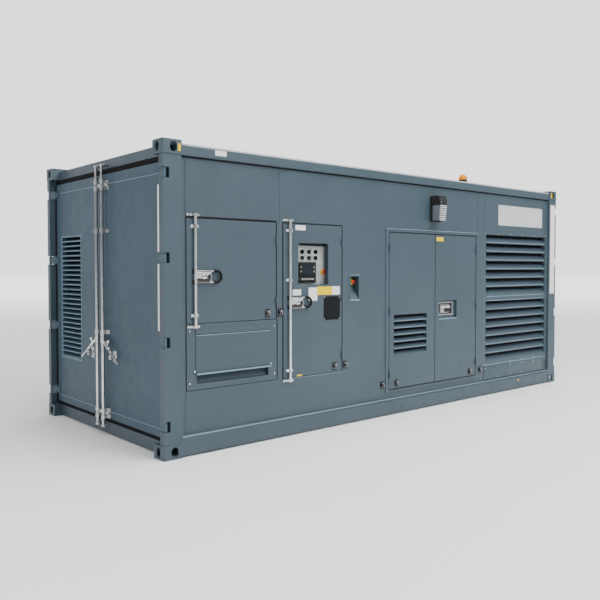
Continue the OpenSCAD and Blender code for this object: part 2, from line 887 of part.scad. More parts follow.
module stop_niche() {
  tub_x = niche_x + niche_rim;
  tub_x1 = niche_x + niche_w - niche_rim;
  tub_z = niche_z + niche_rim;
  tub_z1 = niche_z + niche_h - niche_rim;
  back = wall_y + niche_d;
  color(dark_paint) difference() {
    union() {
      block(niche_x, niche_x + niche_w, wall_y - niche_t, wall_y, niche_z, niche_z + niche_h);
      block(tub_x, tub_x1, wall_y, back, tub_z, tub_z1);
    }
    along_x(tub_x + niche_t, tub_x1 - niche_t)
      polygon([[wall_y - niche_t - eps, tub_z + niche_t], [wall_y, tub_z + niche_t],
               [back - niche_t, tub_z + niche_t + niche_slope], [back - niche_t, tub_z1 - niche_t],
               [wall_y - niche_t - eps, tub_z1 - niche_t]]);
  }
}

// Places an emergency stop on a plane facing -Y
module stop_places() {
  translate([niche_x + niche_w / 2 + stop_right, wall_y + niche_d - niche_t, stop_z]) rotate([90, 0, 0])
    children();
  translate([window_left + panel_stop_x, cabinet_y, window_z + panel_stop_z])
    rotate([90, 0, 0]) children();
}

module stop_bases() {
  color("gold") stop_places() cylinder(d = stop_base_d, h = stop_neck);
}

module stop_heads() {
  color("orangered") stop_places() translate([0, 0, stop_neck])
    cylinder(d1 = stop_head_d, d2 = stop_head_d - stop_taper, h = stop_out - stop_neck);
}

module control_cabinet() {
  color(grey) block(control_x + seal_w, control_x1 - seal_w, cabinet_y, cabinet_y + cabinet_d,
                    rail_top, lintel_z - cabinet_drop);
}

module control_switchgear() {
  color(rubber) {
    translate([window_left + controller_x, cabinet_y - controller_d, window_z + controller_z])
      cube([controller_w, controller_d, controller_h]);
    for (column = [0 : 2])
      for (row = [0 : 1])
        translate([window_left + switch_x + column * switch_pitch, cabinet_y,
                   window_z + switch_z + row * switch_rise])
          rotate([90, 0, 0]) cylinder(d = switch_d, h = controller_d);
  }
}

module light_housing() {
  back_top = light_z + light_h;
  hood_z = back_top - light_hood_h;
  color(rubber) along_x(light_x, light_x + light_w)
    polygon([[wall_y, light_z], [wall_y, back_top], [wall_y - light_d + light_slope, back_top],
             [wall_y - light_d, hood_z + light_slope], [wall_y - light_d, hood_z],
             [wall_y - light_box_d, hood_z], [wall_y - light_box_d, light_z]]);
}

module light_lens() {
  hood_z = light_z + light_h - light_hood_h;
  color("gainsboro") along_x(light_x + light_lens_inset, light_x + light_w - light_lens_inset)
    polygon([[wall_y - light_box_d, light_z + light_lens_inset], [wall_y - light_box_d, hood_z],
             [wall_y - light_d + light_lens_inset, hood_z],
             [wall_y - light_d + light_slope, light_z + light_lens_inset]]);
}

module beacon_base() {
  color(rubber) translate([beacon_x, beacon_y, roof_z + roof_sheet_t])
    union() {
      cylinder(d = beacon_d + 2 * beacon_flange, h = beacon_flange);
      cylinder(d = beacon_d, h = beacon_base_h);
    }
}

module beacon_dome() {
  radius = beacon_d / 2;
  color("orange") translate([beacon_x, beacon_y, roof_z + roof_sheet_t + beacon_base_h])
    rotate_extrude() intersection() {
      square([radius, beacon_h]);
      union() {
        square([radius, beacon_h - radius]);
        translate([0, beacon_h - radius]) circle(r = radius);
      }
    }
}

// Two lugs on a plate on a frame face, either side of a rod that stands in front of it
module keeper_lugs(base_x, reach, gap, height) {
  translate([base_x - keeper_plate_t, -gap - keeper_t, -height / 2])
    cube([keeper_plate_t, 2 * (gap + keeper_t), height]);
  for (side = [-1, 1])
    translate([base_x - reach, side * gap - (side < 0 ? keeper_t : 0), -height / 2])
      cube([reach, keeper_t, height]);
}

module end_keepers() {
  reach = end_x - rod_x;
  gap = cam_d / 2 + cam_gap;
  for (side = [-1, 1])
    for (level = [rod_z + cam_h / 2, rod_top - cam_h / 2])
      translate([0, side * rod_y, level]) keeper_lugs(end_x, reach, gap, cam_h);
}

module side_keeper(x, level, proud) {
  translate([x, wall_y - proud, level]) rotate([0, 0, 90])
    keeper_lugs(0, side_rod_out - proud, side_rod_d / 2 + cam_gap, cam_h);
}

module keepers() {
  color(steel) {
    both_ends() end_keepers();
    for (rod = [[cable_rod, cable_z, outlet_proud], [control_rod, control_z, 0]]) {
      side_keeper(rod[0], lintel_z - door_gap + side_rod_over - cam_h / 2, 0);
      side_keeper(rod[0], rod[1] + door_gap - side_rod_over + cam_h / 2, rod[2]);
    }
  }
}

// The fixed half of a side hinge: two knuckles, a pin and plates, on a face turned to -Y
module fixed_hinge(x, axis_y, face, level, way) {
  plate_x = way > 0 ? x : x - hinge_plate_w;
  for (side = [-1, 1]) {
    z0 = level + side * (knuckle_h + knuckle_gap) - knuckle_h / 2;
    translate([x, axis_y, z0]) cylinder(d = knuckle_d, h = knuckle_h);
    block(plate_x, plate_x + hinge_plate_w, face - hinge_plate_t, face, z0, z0 + knuckle_h);
    block(x - hinge_plate_t, x + hinge_plate_t, axis_y, face, z0, z0 + knuckle_h);
  }
  translate([x, axis_y, level - knuckle_h]) cylinder(d = side_pin_d, h = 2 * knuckle_h);
}

// The door's half of a side hinge: the middle knuckle with its bore and plate
module door_hinge(x, axis_y, face, level, way) {
  plate_x = way > 0 ? x - hinge_plate_w : x + door_gap / 2;
  plate_x1 = way > 0 ? x - door_gap / 2 : x + hinge_plate_w;
  difference() {
    union() {
      translate([x, axis_y, level - knuckle_h / 2]) cylinder(d = knuckle_d, h = knuckle_h);
      block(way > 0 ? plate_x : x, way > 0 ? x : plate_x1, face - 2 * hinge_plate_t,
            face - hinge_plate_t, level - knuckle_h / 2, level + knuckle_h / 2);
      block(plate_x, plate_x1, face - hinge_plate_t - eps / 2, face,
            level - knuckle_h / 2, level + knuckle_h / 2);
    }
    translate([x, axis_y, level - knuckle_h])
      cylinder(d = side_pin_d + 2 * pin_clear, h = 2 * knuckle_h);
  }
}

module wall_hinges() {
  color(dark_paint) {
    for (level = cable_hinges) fixed_hinge(cable_pin_x, wall_pin_y, wall_y, level, 1);
    for (level = control_hinges) fixed_hinge(control_pin_x, wall_pin_y, wall_y, level, 1);
    for (level = service_hinges) {
      fixed_hinge(service_pin_left, service_pin_y, service_face, level, -1);
      fixed_hinge(service_pin_right, service_pin_y, service_face, level, 1);
    }
  }
}

// A hold-open clip on a face turned to -Y: a plate with a grooved jaw
module clip(x, face, level) {
  half_w = clip_w / 2;
  half_h = clip_h / 2;
  jaw = half_w - clip_edge;
  block(x - half_w, x + half_w, face - clip_plate_t, face, level - half_h, level + half_h);
  difference() {
    block(x - jaw, x + jaw, face - clip_out, face - clip_plate_t + eps, level - half_h + clip_edge,
          level + half_h - clip_edge);
    block(x - clip_groove / 2, x + clip_groove / 2, face - clip_out - eps, face - clip_out / 2,
          level - half_h, level + half_h);
  }
}

module wall_clips() {
  color(rubber) {
    clip(cable_pin_x + wall_clip_from_pin, wall_y, cable_clip_z);
    clip(control_pin_x + wall_clip_from_pin, wall_y, control_clip_z);
    clip(service_pin_left - service_wall_clip_from_pin, wall_y, service_clip_z);
    clip(service_pin_right + service_wall_clip_from_pin, wall_y, service_clip_z);
  }
}

module seal_ring(x0, x1, z0, z1) {
  difference() {
    block(x0, x1, wall_in - seal_t, wall_in, z0, z1);
    block(x0 + seal_w, x1 - seal_w, wall_in - seal_t - eps, wall_in + eps,
          z0 + seal_w, z1 - seal_w);
  }
}

module door_seals() {
  color(rubber) {
    seal_ring(cable_x, cable_x1, cable_z, lintel_z);
    seal_ring(control_x, control_x1, control_z, lintel_z);
    seal_ring(leaf_in_x, leaf_in_x1, leaf_in_z, leaf_in_z1);
  }
}

// The end leaf on the +Y side
module end_leaf() {
  block(leaf_x, leaf_x1, leaf_gap, leaf_y, leaf_z, leaf_top);
}

// A ribbed strip that fills the gap above or below a leaf
module ribbed_gasket(z0, z1) {
  gasket_x = (leaf_x + leaf_x1 - gasket_t) / 2;
  pitch = (z1 - z0) / gasket_ribs;
  block(gasket_x, gasket_x + gasket_t, leaf_gap, leaf_y, z0, z1);
  for (i = [0 : gasket_ribs - 1])
    translate([gasket_x, leaf_gap, z0 + (i + 0.5) * pitch]) rotate([-90, 0, 0])
      cylinder(d = pitch - gasket_groove, h = leaf_y - leaf_gap);
}

// Lips along the leaf's hinge edge, clear of the hinges
module hinge_edge_lips() {
  clear = notch_h / 2 + gasket_gap;
  starts = concat([leaf_z], [for (level = hinge_levels) level + clear]);
  ends = concat([for (level = hinge_levels) level - clear], [leaf_top]);
  for (i = [0 : hinge_count])
    block(leaf_x - lip_t, leaf_x, leaf_y - lip_w, leaf_y, starts[i], ends[i]);
}

module leaf_gaskets() {
  ribbed_gasket(cast_h + gasket_gap, leaf_z);
  ribbed_gasket(leaf_top, post_top - gasket_gap);
  hinge_edge_lips();
}

// One saddle of a guide, round the rod
module rod_saddle(height) {
  block(rod_x, leaf_x, rod_y - guide_w / 2, rod_y + guide_w / 2, 0, height);
  translate([rod_x, rod_y, 0]) cylinder(d = guide_w - saddle_step, h = height);
}

// A bolted guide on the leaf's face: an eared plate with a saddle at each end
module rod_guide(level, height) {
  saddle_h = min(height, guide_saddle_h);
  translate([0, 0, level - height / 2]) difference() {
    union() {
      for (z = [0, height - saddle_h]) translate([0, 0, z]) rod_saddle(saddle_h);
      block(leaf_x - guide_plate_t, leaf_x, rod_y - guide_w / 2 - guide_ear_in,
            rod_y + guide_w / 2 + guide_ear_out, 0, height);
    }
    translate([rod_x, rod_y, -eps]) cylinder(d = rod_d + 2 * rod_clear, h = height + 2 * eps);
  }
}

// The catch that the handle rests over: a plate, an arm under the bar and a padlock eye
module handle_catch() {
  reach = catch_at * cos(handle_drop);
  top = handle_hub_z - catch_at * sin(handle_drop) - handle_d - catch_gap;
  front = rod_x - rod_d / 2;
  translate([0, rod_y + reach, top]) {
    block(leaf_x - guide_plate_t, leaf_x, -catch_w / 2, catch_w / 2, -catch_h, catch_w / 2);
    block(front, leaf_x, -catch_arm_w / 2, catch_arm_w / 2, -catch_arm_t, 0);
    difference() {
      translate([front, 0, -catch_eye_d / 2]) rotate([0, 90, 0])
        cylinder(d = catch_eye_d, h = catch_arm_t);
      translate([front - eps, 0, -catch_eye_d / 2]) rotate([0, 90, 0])
        cylinder(d = catch_eye_d / 2, h = catch_arm_t + 2 * eps);
    }
  }
}

module leaf_hinge(level) {
  height = notch_h - 2 * barrel_clear;
  back = frame_x + notch_d - barrel_clear;
  front = leaf_x - hinge_blade_t;
  quarter = hinge_barrel_d / 4;
  translate([0, 0, level - height / 2]) difference() {
    union() {
      translate([hinge_x, hinge_y, 0]) cylinder(d = hinge_barrel_d, h = height);
      linear_extrude(height)
        polygon([[hinge_x, hinge_y + quarter], [front, hinge_y - quarter],
                 [back, leaf_y + leaf_post_gap], [back, leaf_y], [leaf_x, leaf_y],
                 [leaf_x, leaf_y - hinge_root], [front, leaf_y - hinge_root],
                 [front, leaf_y - quarter], [hinge_x - quarter, hinge_y - quarter]]);
      translate([front, 0, 0]) rotate([90, 0, 90]) linear_extrude(hinge_blade_t)
        polygon([[leaf_y - quarter, 0], [leaf_y - quarter, height], [leaf_y - hinge_root, height],
                 [leaf_y - hinge_blade_l, (height + hinge_tip_h) / 2],
                 [leaf_y - hinge_blade_l, (height - hinge_tip_h) / 2], [leaf_y - hinge_root, 0]]);
    }
    translate([hinge_x, hinge_y, -eps])
      cylinder(d = hinge_pin_d + 2 * pin_clear, h = height + 2 * eps);
  }
}

module leaf_fittings() {
  for (level = hinge_levels) leaf_hinge(level);
  for (level = guide_levels) rod_guide(level, guide_h);
  for (level = long_guide_levels) rod_guide(level, long_guide_h);
  handle_catch();
}

// The lock rod of the +Y leaf with its cams and handle
module leaf_rod() {
  translate([rod_x, rod_y, rod_z]) cylinder(d = rod_d, h = rod_top - rod_z);
  for (level = [rod_z, rod_top - cam_h])
    translate([rod_x, rod_y, level]) cylinder(d = cam_d, h = cam_h);
  translate([rod_x, rod_y, handle_hub_z - handle_hub_h / 2])
    cylinder(d = cam_d, h = handle_hub_h);
  translate([rod_x - (rod_d - handle_d) / 2, rod_y, handle_hub_z])
    rotate([-90 - handle_drop, 0, 0]) {
      cylinder(d = handle_d, h = handle_l);
      translate([0, 0, handle_l - handle_knob_l]) cylinder(d = handle_knob_d, h = handle_knob_l);
    }
}

module far_fittings() {
  color(steel) mirror([1, 0, 0]) both_sides() leaf_fittings();
}

module far_doors() {
  color(dark_paint) mirror([1, 0, 0]) both_sides() end_leaf();
}

module far_gaskets() {
  color(rubber) mirror([1, 0, 0]) both_sides() leaf_gaskets();
}

module far_lock_rods() {
  color(steel) mirror([1, 0, 0]) both_sides() leaf_rod();
}

module end_door_right() {
  color(dark_paint) mirror([0, 1, 0]) end_leaf();
}

module end_right_gasket() {
  color(rubber) mirror([0, 1, 0]) leaf_gaskets();
}

module end_right_fittings() {
  color(steel) mirror([0, 1, 0]) leaf_fittings();
}

module end_right_rod() {
  color(steel) mirror([0, 1, 0]) leaf_rod();
}

module end_door_left() {
  color(dark_paint) difference() {
    end_leaf();
    block(leaf_x - eps, leaf_x1 + eps, leaf_louvre_y, leaf_louvre_y + leaf_louvre_w,
          leaf_louvre_z, leaf_louvre_z + leaf_louvre_h);
  }
}

// A framed louvre seen from -Y, its outer corner at the origin
module door_louvre(width, height, depth, count) {
  rim = door_louvre_rim;
  pitch = (height - 2 * rim) / count;
  difference() {
    cube([width, depth, height]);
    translate([rim, -eps, rim]) cube([width - 2 * rim, depth + 2 * eps, height - 2 * rim]);
  }
  for (i = [0 : count - 1])
    translate([0, 0, rim + i * pitch]) along_x(rim - eps, width - rim + eps)
      polygon([[0, 0], [0, slat_lip], [depth - slat_t, pitch * slat_rise], [depth, pitch * slat_rise],
               [slat_t, slat_lip - slat_t], [slat_t, 0]]);
}

module end_left_louvre() {
  color(dark_paint) translate([leaf_x, leaf_louvre_y + leaf_louvre_w, leaf_louvre_z])
    rotate([0, 0, -90]) door_louvre(leaf_louvre_w, leaf_louvre_h, leaf_t, leaf_slats);
}

module end_left_gasket() {
  color(rubber) leaf_gaskets();
}

module end_left_fittings() {
  color(steel) leaf_fittings();
}

module end_left_rod() {
  color(steel) leaf_rod();
}

module side_door(x0, x1, z0) {
  block(x0 + door_gap, x1 - door_gap, wall_y, wall_y + side_door_t,
        z0 + door_gap, lintel_z - door_gap);
}

// A guide on a door's face with a bore for a side rod
module side_guide(x, level) {
  width = side_rod_d + 2 * side_guide_foot;
  translate([0, 0, level - guide_h / 2]) difference() {
    union() {
      block(x - width / 2, x + width / 2, side_rod_y, wall_y, 0, guide_h);
      translate([x, side_rod_y, 0]) cylinder(d = side_rod_d + 2 * side_guide_wall, h = guide_h);
      block(x - width, x + width, wall_y - side_ear_t, wall_y, side_ear_margin,
            guide_h - side_ear_margin);
    }
    translate([x, side_rod_y, -eps])
      cylinder(d = side_rod_d + 2 * rod_clear, h = guide_h + 2 * eps);
  }
}

// A plate along X from x0 to a round end at x1, its height along Y
module round_ended(x0, x1, height, thickness) {
  translate([x0, -height / 2, 0]) cube([x1 - height / 2 - x0, height, thickness]);
  translate([x1 - height / 2, 0, 0]) intersection() {
    cylinder(d = height, h = thickness);
    translate([-eps, -height / 2, 0]) cube([height, height, thickness]);
  }
}

// A side rod with its handle, which ends in a loop
module side_rod(x, z0, level) {
  low = z0 + door_gap - side_rod_over;
  high = lintel_z - door_gap + side_rod_over;
  translate([x, side_rod_y, low]) cylinder(d = side_rod_d, h = high - low);
  translate([x, side_rod_y + grip_t / 2, level]) rotate([90, 0, 0]) difference() {
    round_ended(0, grip_l, grip_h, grip_t);
    translate([0, 0, -eps])
      round_ended(grip_plate_l + grip_t, grip_l - grip_t, grip_h - 2 * grip_t, grip_t + 2 * eps);
  }
  translate([x, side_rod_y, level - grip_h / 2]) cylinder(d = side_rod_d + 2 * grip_hub_wall, h = grip_h);
}

module cable_door() {
  color(paint) side_door(cable_x, cable_x1, cable_z);
}

module cable_fittings() {
  color(steel) {
    for (level = cable_hinges) door_hinge(cable_pin_x, wall_pin_y, wall_y, level, 1);
    side_guide(cable_rod, cable_z + side_guide_margin);
    side_guide(cable_rod, lintel_z - side_guide_margin);
    clip(cable_pin_x - clip_from_pin, wall_y, cable_clip_z);
  }
}

module cable_rod_gear() {
  color(steel) side_rod(cable_rod, cable_z, cable_handle_z);
}

module control_door() {
  color(paint) difference() {
    side_door(control_x, control_x1, control_z);
    block(window_left, window_left + window_w, wall_y - eps,
          wall_y + side_door_t + eps, window_z, window_z + window_h);
  }
}

module control_window() {
  color("lightblue") block(window_left, window_left + window_w,
                           wall_y + pane_recess, wall_y + pane_recess + pane_t,
                           window_z, window_z + window_h);
}

module control_fittings() {
  color(steel) {
    for (level = control_hinges) door_hinge(control_pin_x, wall_pin_y, wall_y, level, 1);
    side_guide(control_rod, control_z + side_guide_margin);
    side_guide(control_rod, control_handle_z + control_guide_rise);
    side_guide(control_rod, lintel_z - side_guide_margin);
    clip(control_pin_x - clip_from_pin, wall_y, control_clip_z);
  }
}

module control_rod_gear() {
  color(steel) side_rod(control_rod, control_z, control_handle_z);
}

module service_left() {
  left = leaf_in_x + door_gap;
  color(paint) difference() {
    service_leaf(left, leaf_mid_x - door_gap / 2);
    block(left + service_louvre_x, left + service_louvre_x + service_louvre_w, leaf_face - eps,
          leaf_face + side_door_t + eps, service_louvre_z, service_louvre_z + service_louvre_h);
  }
}

module service_louvre() {
  color(paint) translate([leaf_in_x + door_gap + service_louvre_x, leaf_face, service_louvre_z])
    door_louvre(service_louvre_w, service_louvre_h, side_door_t, service_slats);
}

module service_left_fittings() {
  color(steel) {
    for (level = service_hinges)
      door_hinge(service_pin_left, service_pin_y, leaf_face, level, -1);
    clip(service_pin_left + service_clip_from_pin, leaf_face, service_clip_z);
  }
}

module service_right() {
  left = leaf_mid_x + door_gap / 2;
  color(paint) difference() {
    service_leaf(left, leaf_in_x1 - door_gap);
    block(left + tray_x, left + tray_x + tray_w, leaf_face - eps, leaf_face + tray_d,
          tray_z, tray_z + tray_h);
  }
}

module handle_tray() {
  left = leaf_mid_x + door_gap / 2 + tray_x;
  color(dark_paint) difference() {
    block(left, left + tray_w, leaf_face, leaf_face + tray_d, tray_z, tray_z + tray_h);
    block(left + tray_t, left + tray_w - tray_t, leaf_face - eps, leaf_face + tray_d - tray_t,
          tray_z + tray_t, tray_z + tray_h - tray_t);
  }
}

// A paddle latch: a plate with a raised rim and a paddle that is round at one end
module tray_latch() {
  left = leaf_mid_x + door_gap / 2 + tray_x + latch_x;
  back = leaf_face + tray_d - tray_t;
  low = tray_z + latch_z;
  middle = low + latch_h / 2;
  round_x = left + latch_rim + lever_l - lever_h / 2;
  color(steel) {
    difference() {
      block(left, left + latch_w, back - latch_t, back, low, low + latch_h);
      block(left + latch_rim, left + latch_w - latch_rim, back - latch_t - eps, back - latch_t / 2,
            low + latch_rim, low + latch_h - latch_rim);
    }
    block(left + latch_rim + lever_edge, round_x, back - latch_t - lever_t, back - latch_t / 2,
          middle - lever_h / 2, middle + lever_h / 2);
    translate([round_x, back - latch_t / 2, middle]) rotate([90, 0, 0])
      cylinder(d = lever_h, h = lever_t + latch_t / 2);
  }
}

module service_right_fittings() {
  color(steel) {
    for (level = service_hinges)
      door_hinge(service_pin_right, service_pin_y, leaf_face, level, 1);
    clip(service_pin_right - service_clip_from_pin, leaf_face, service_clip_z);
  }
}

corner_castings();
corner_posts();
bottom_side_rails();
top_side_rails();
end_rails();
cross_members();
floor();
roof();
roof_sheet();
front_wall_pillars();
front_wall_panels();
rear_wall_pillars();
rear_wall_panels();
front_louvre();
rear_louvre();
service_frame();
rear_service_doors();
rear_hinges();
outlet_panel();
cable_hood();
stop_niche();
stop_bases();
stop_heads();
control_cabinet();
control_switchgear();
light_housing();
light_lens();
beacon_base();
beacon_dome();
keepers();
wall_hinges();
wall_clips();
door_seals();
far_doors();
far_gaskets();
far_fittings();
far_lock_rods();
end_door_right();
end_right_gasket();
end_right_fittings();
end_right_rod();
end_door_left();
end_left_louvre();
end_left_gasket();
end_left_fittings();
end_left_rod();
cable_door();
cable_fittings();
cable_rod_gear();
control_door();
control_window();
control_fittings();
control_rod_gear();
service_left();
service_louvre();
service_left_fittings();
service_right();
handle_tray();
tray_latch();
service_right_fittings();
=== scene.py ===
"""Looks for the containerised generator: paint, metal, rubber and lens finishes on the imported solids,
and the small fittings that the solids leave out. Metres, Z up, the equipped long side faces -Y."""

import json
import math

import bmesh
import bpy
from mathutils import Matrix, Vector


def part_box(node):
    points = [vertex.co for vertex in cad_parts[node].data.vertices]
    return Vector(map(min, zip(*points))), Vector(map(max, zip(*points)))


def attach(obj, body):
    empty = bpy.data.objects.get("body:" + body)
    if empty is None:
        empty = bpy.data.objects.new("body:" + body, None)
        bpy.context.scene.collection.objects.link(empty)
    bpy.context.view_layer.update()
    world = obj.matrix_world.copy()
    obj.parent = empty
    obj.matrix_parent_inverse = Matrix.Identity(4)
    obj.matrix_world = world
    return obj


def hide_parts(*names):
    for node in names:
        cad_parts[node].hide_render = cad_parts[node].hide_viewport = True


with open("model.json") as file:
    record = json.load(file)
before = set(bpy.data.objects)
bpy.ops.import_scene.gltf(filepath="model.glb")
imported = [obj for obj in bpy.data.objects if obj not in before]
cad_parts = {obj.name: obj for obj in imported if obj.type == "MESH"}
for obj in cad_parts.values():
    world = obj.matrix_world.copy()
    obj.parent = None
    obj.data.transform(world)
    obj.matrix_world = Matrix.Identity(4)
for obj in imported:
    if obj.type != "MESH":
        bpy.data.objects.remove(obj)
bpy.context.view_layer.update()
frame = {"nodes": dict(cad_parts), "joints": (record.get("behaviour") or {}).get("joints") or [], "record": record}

# Camera that took the photograph, fitted to the container's standard corners
CAMERA_PLACE = (-5.809, -6.122, 1.556)
CAMERA_YAW = math.radians(48.96)
CAMERA_PITCH = math.radians(-1.62)
CAMERA_LENS = 41.65
CAMERA_SENSOR = 36.0
CAMERA_SHIFT = (-0.0067, -0.0207)

# Stage: the surround goes from dim to bright over a span of headings, and so does the far floor
FLOOR_REACH = 120.0
FLOOR_TONES = ((0.80, 0.80, 0.80), (0.84, 0.84, 0.84))
WORLD_BACK = (0.657, 0.754, 0.0)
WORLD_FADE = (0.10, 0.85)
WORLD_DIM = 0.26
WORLD_BRIGHT = 2.0
GLOW_SPAN = (5.0, 30.0)
GLOW_SHARE = 0.85
LAMPS = {
    "overhead": {"place": (0.5, -4.5, 11.0), "size": 12.0, "power": 2300.0},
    "key": {"place": (1.0, -11.0, 9.5), "size": 6.0, "power": 950.0},
    "fill": {"place": (-13.0, -2.0, 7.0), "size": 6.0, "power": 620.0},
}
LAMP_AIM = (0.0, 0.0, 1.0)

# Linear colours
ENCLOSURE = (0.043, 0.069, 0.089)
END_DOOR = (0.046, 0.078, 0.106)
ROOF = (0.45, 0.48, 0.49)
GALVANISED = (0.60, 0.61, 0.62)
RUBBER = (0.012, 0.012, 0.013)
BLACK = (0.018, 0.018, 0.019)
YELLOW = (0.80, 0.52, 0.02)
RED = (0.55, 0.03, 0.02)
CABINET = (0.50, 0.52, 0.52)
FLOOR_STEEL = (0.10, 0.11, 0.12)
LABEL_WHITE = (0.78, 0.78, 0.76)
LABEL_YELLOW = (0.80, 0.55, 0.0)
LABEL_DARK = (0.012, 0.013, 0.015)
LABEL_SILVER = (0.52, 0.54, 0.55)
SCREEN_TONE = (0.008, 0.009, 0.010)
DISPLAY = (0.015, 0.022, 0.028)
FROST = (0.82, 0.84, 0.85)
LENS_CHEEK = (0.12, 0.14, 0.16)
PANE = (0.96, 0.98, 0.98)
AMBER = (0.78, 0.28, 0.0)
# A dark zinc tone, used as painted shade
SHADE_ZINC = (0.10, 0.095, 0.09)
PLATE_ZINC = (0.78, 0.79, 0.80)
# A whiter zinc tone, used as painted highlight on the side rods and nuts
HIGHLIGHT_ZINC = (0.86, 0.87, 0.88)

# Heights of the side handles
GRIP_LEVELS = {"cable_rod_gear": 1.483, "control_rod_gear": 1.233}

# Sockets of a mix node, as (the two that are mixed, the result)
MIX_SOCKETS = {"RGBA": ((6, 7), 2), "FLOAT": ((2, 3), 0)}


class Nodes:
    """A node tree with short calls to add and join nodes."""

    def __init__(self, tree):
        self.tree = tree

    def add(self, kind, **settings):
        node = self.tree.nodes.new(kind)
        for key, value in settings.items():
            setattr(node, key, value)
        return node

    def join(self, source, target):
        self.tree.links.new(source, target)

    def ranged(self, value, *span, curve="LINEAR"):
        """Carries value from one range to another; span is (low, high, to low, to high)."""
        node = self.add("ShaderNodeMapRange", interpolation_type=curve)
        for socket, limit in zip(("From Min", "From Max", "To Min", "To Max"), span):
            node.inputs[socket].default_value = limit
        self.join(value, node.inputs["Value"])
        return node.outputs["Result"]


class Shader(Nodes):
    """The node tree of a new material."""

    def __init__(self, name):
        self.material = bpy.data.materials.new(name)
        self.material.use_nodes = True
        super().__init__(self.material.node_tree)
        self.surface = self.tree.nodes["Principled BSDF"]
        self.place = self.add("ShaderNodeTexCoord").outputs["Object"]

    def scaled(self, factors):
        mapping = self.add("ShaderNodeMapping")
        mapping.inputs["Scale"].default_value = factors
        self.join(self.place, mapping.inputs["Vector"])
        return mapping.outputs["Vector"]

    def noise(self, scale, detail=4.0, stretch=None):
        node = self.add("ShaderNodeTexNoise")
        node.inputs["Scale"].default_value = scale
        node.inputs["Detail"].default_value = detail
        self.join(self.scaled(stretch) if stretch else self.place, node.inputs["Vector"])
        return node.outputs["Fac"]

    def mixed(self, amount, first, second, kind="RGBA", blend="MIX"):
        """From first to second by amount, as colours or numbers; each may be another node's output."""
        node = self.add("ShaderNodeMix", data_type=kind, blend_type=blend)
        self.join(amount, node.inputs[0])
        sockets, result = MIX_SOCKETS[kind]
        for index, value in zip(sockets, (first, second)):
            if isinstance(value, bpy.types.NodeSocket):
                self.join(value, node.inputs[index])
            else:
                node.inputs[index].default_value = (*value, 1.0) if kind == "RGBA" else value
        return node.outputs[result]

    def times(self, first, second):
        node = self.add("ShaderNodeMath", operation="MULTIPLY")
        self.join(first, node.inputs[0])
        self.join(second, node.inputs[1])
        return node.outputs[0]

    def softened(self, radius):
        """Normals with the edges rounded to a radius."""
        bevel = self.add("ShaderNodeBevel", samples=4)
        bevel.inputs["Radius"].default_value = radius
        return bevel.outputs["Normal"]

    def edge_mask(self, radius):
        """Near 1 on edges within radius, 0 on flat faces."""
        normal = self.add("ShaderNodeNewGeometry").outputs["Normal"]
        dot = self.add("ShaderNodeVectorMath", operation="DOT_PRODUCT")
        self.join(self.softened(radius), dot.inputs[0])
        self.join(normal, dot.inputs[1])
        return self.ranged(dot.outputs["Value"], 0.98, 0.80, 0.0, 1.0)

    def relief(self, height, distance, strength, under=None, edge=None):
        """A bump from height, on top of another bump or of edges rounded to a radius."""
        bump = self.add("ShaderNodeBump")
        bump.inputs["Distance"].default_value = distance
        bump.inputs["Strength"].default_value = strength
        self.join(height, bump.inputs["Height"])
        if edge is not None:
            under = self.softened(edge)
        if under is not None:
            self.join(under, bump.inputs["Normal"])
        return bump.outputs["Normal"]

    def finish(self, colour, roughness, normal=None, **constants):
        self.join(colour, self.surface.inputs["Base Color"])
        self.join(roughness, self.surface.inputs["Roughness"])
        if normal is not None:
            self.join(normal, self.surface.inputs["Normal"])
        for key, value in constants.items():
            self.surface.inputs[key.replace("_", " ")].default_value = value
        return self.material


def tinted(colour, factor):
    return tuple(min(1.0, channel * factor) for channel in colour)


def paint(name, colour, roughness=0.42, edge=0.004, gloss=0.5, soil=0.20):
    """Satin sprayed paint on steel sheet: mottling, faint rain streaks, edges lightened partly by wear and partly
    as painted highlight, and sheet waves.
    """
    shader = Shader(name)
    mottle = shader.noise(1.3, 5.0)
    streaks = shader.noise(1.0, 5.0, stretch=(16.0, 16.0, 0.7))
    grime = shader.noise(9.0, 8.0)
    base = shader.mixed(shader.ranged(mottle, 0.3, 0.7, 0.0, 1.0),
                        tinted(colour, 0.93), tinted(colour, 1.07))
    base = shader.mixed(shader.ranged(streaks, 0.52, 0.80, 0.0, 0.05), base, tinted(colour, 1.4))
    base = shader.mixed(shader.ranged(grime, 0.55, 0.85, 0.0, soil), base, tinted(colour, 0.62))
    # Paler edges: partly wear, partly painted highlight
    worn_and_highlit = shader.times(shader.edge_mask(edge), shader.ranged(grime, 0.35, 0.75, 0.10, 0.75))
    base = shader.mixed(worn_and_highlit, base, tinted(colour, 1.9))
    waves = shader.relief(shader.noise(1.1, 1.0), 0.010, 0.18, edge=edge)
    peel = shader.relief(shader.noise(420.0, 2.0), 0.0006, 0.10, under=waves)
    return shader.finish(base, shader.ranged(grime, 0.2, 0.8, roughness - 0.07, roughness + 0.09),
                         peel, Specular_IOR_Level=gloss)


def galvanised(name, colour, polish=(0.10, 0.24), metallic=1.0):
    """Zinc plating: spangled patches, dull streaks and small scratches."""
    shader = Shader(name)
    spangle = shader.add("ShaderNodeTexVoronoi")
    spangle.inputs["Scale"].default_value = 110.0
    shader.join(shader.place, spangle.inputs["Vector"])
    dull = shader.noise(24.0, 6.0)
    base = shader.mixed(shader.ranged(spangle.outputs["Color"], 0.0, 1.0, 0.0, 1.0),
                        tinted(colour, 0.86), tinted(colour, 1.14))
    base = shader.mixed(shader.ranged(dull, 0.50, 0.75, 0.0, 0.55), base, tinted(colour, 0.55))
    scratches = shader.relief(shader.noise(300.0, 3.0, stretch=(1.0, 1.0, 0.08)), 0.0004, 0.15, edge=0.002)
    return shader.finish(base, shader.ranged(dull, 0.3, 0.7, *polish), scratches, Metallic=metallic)


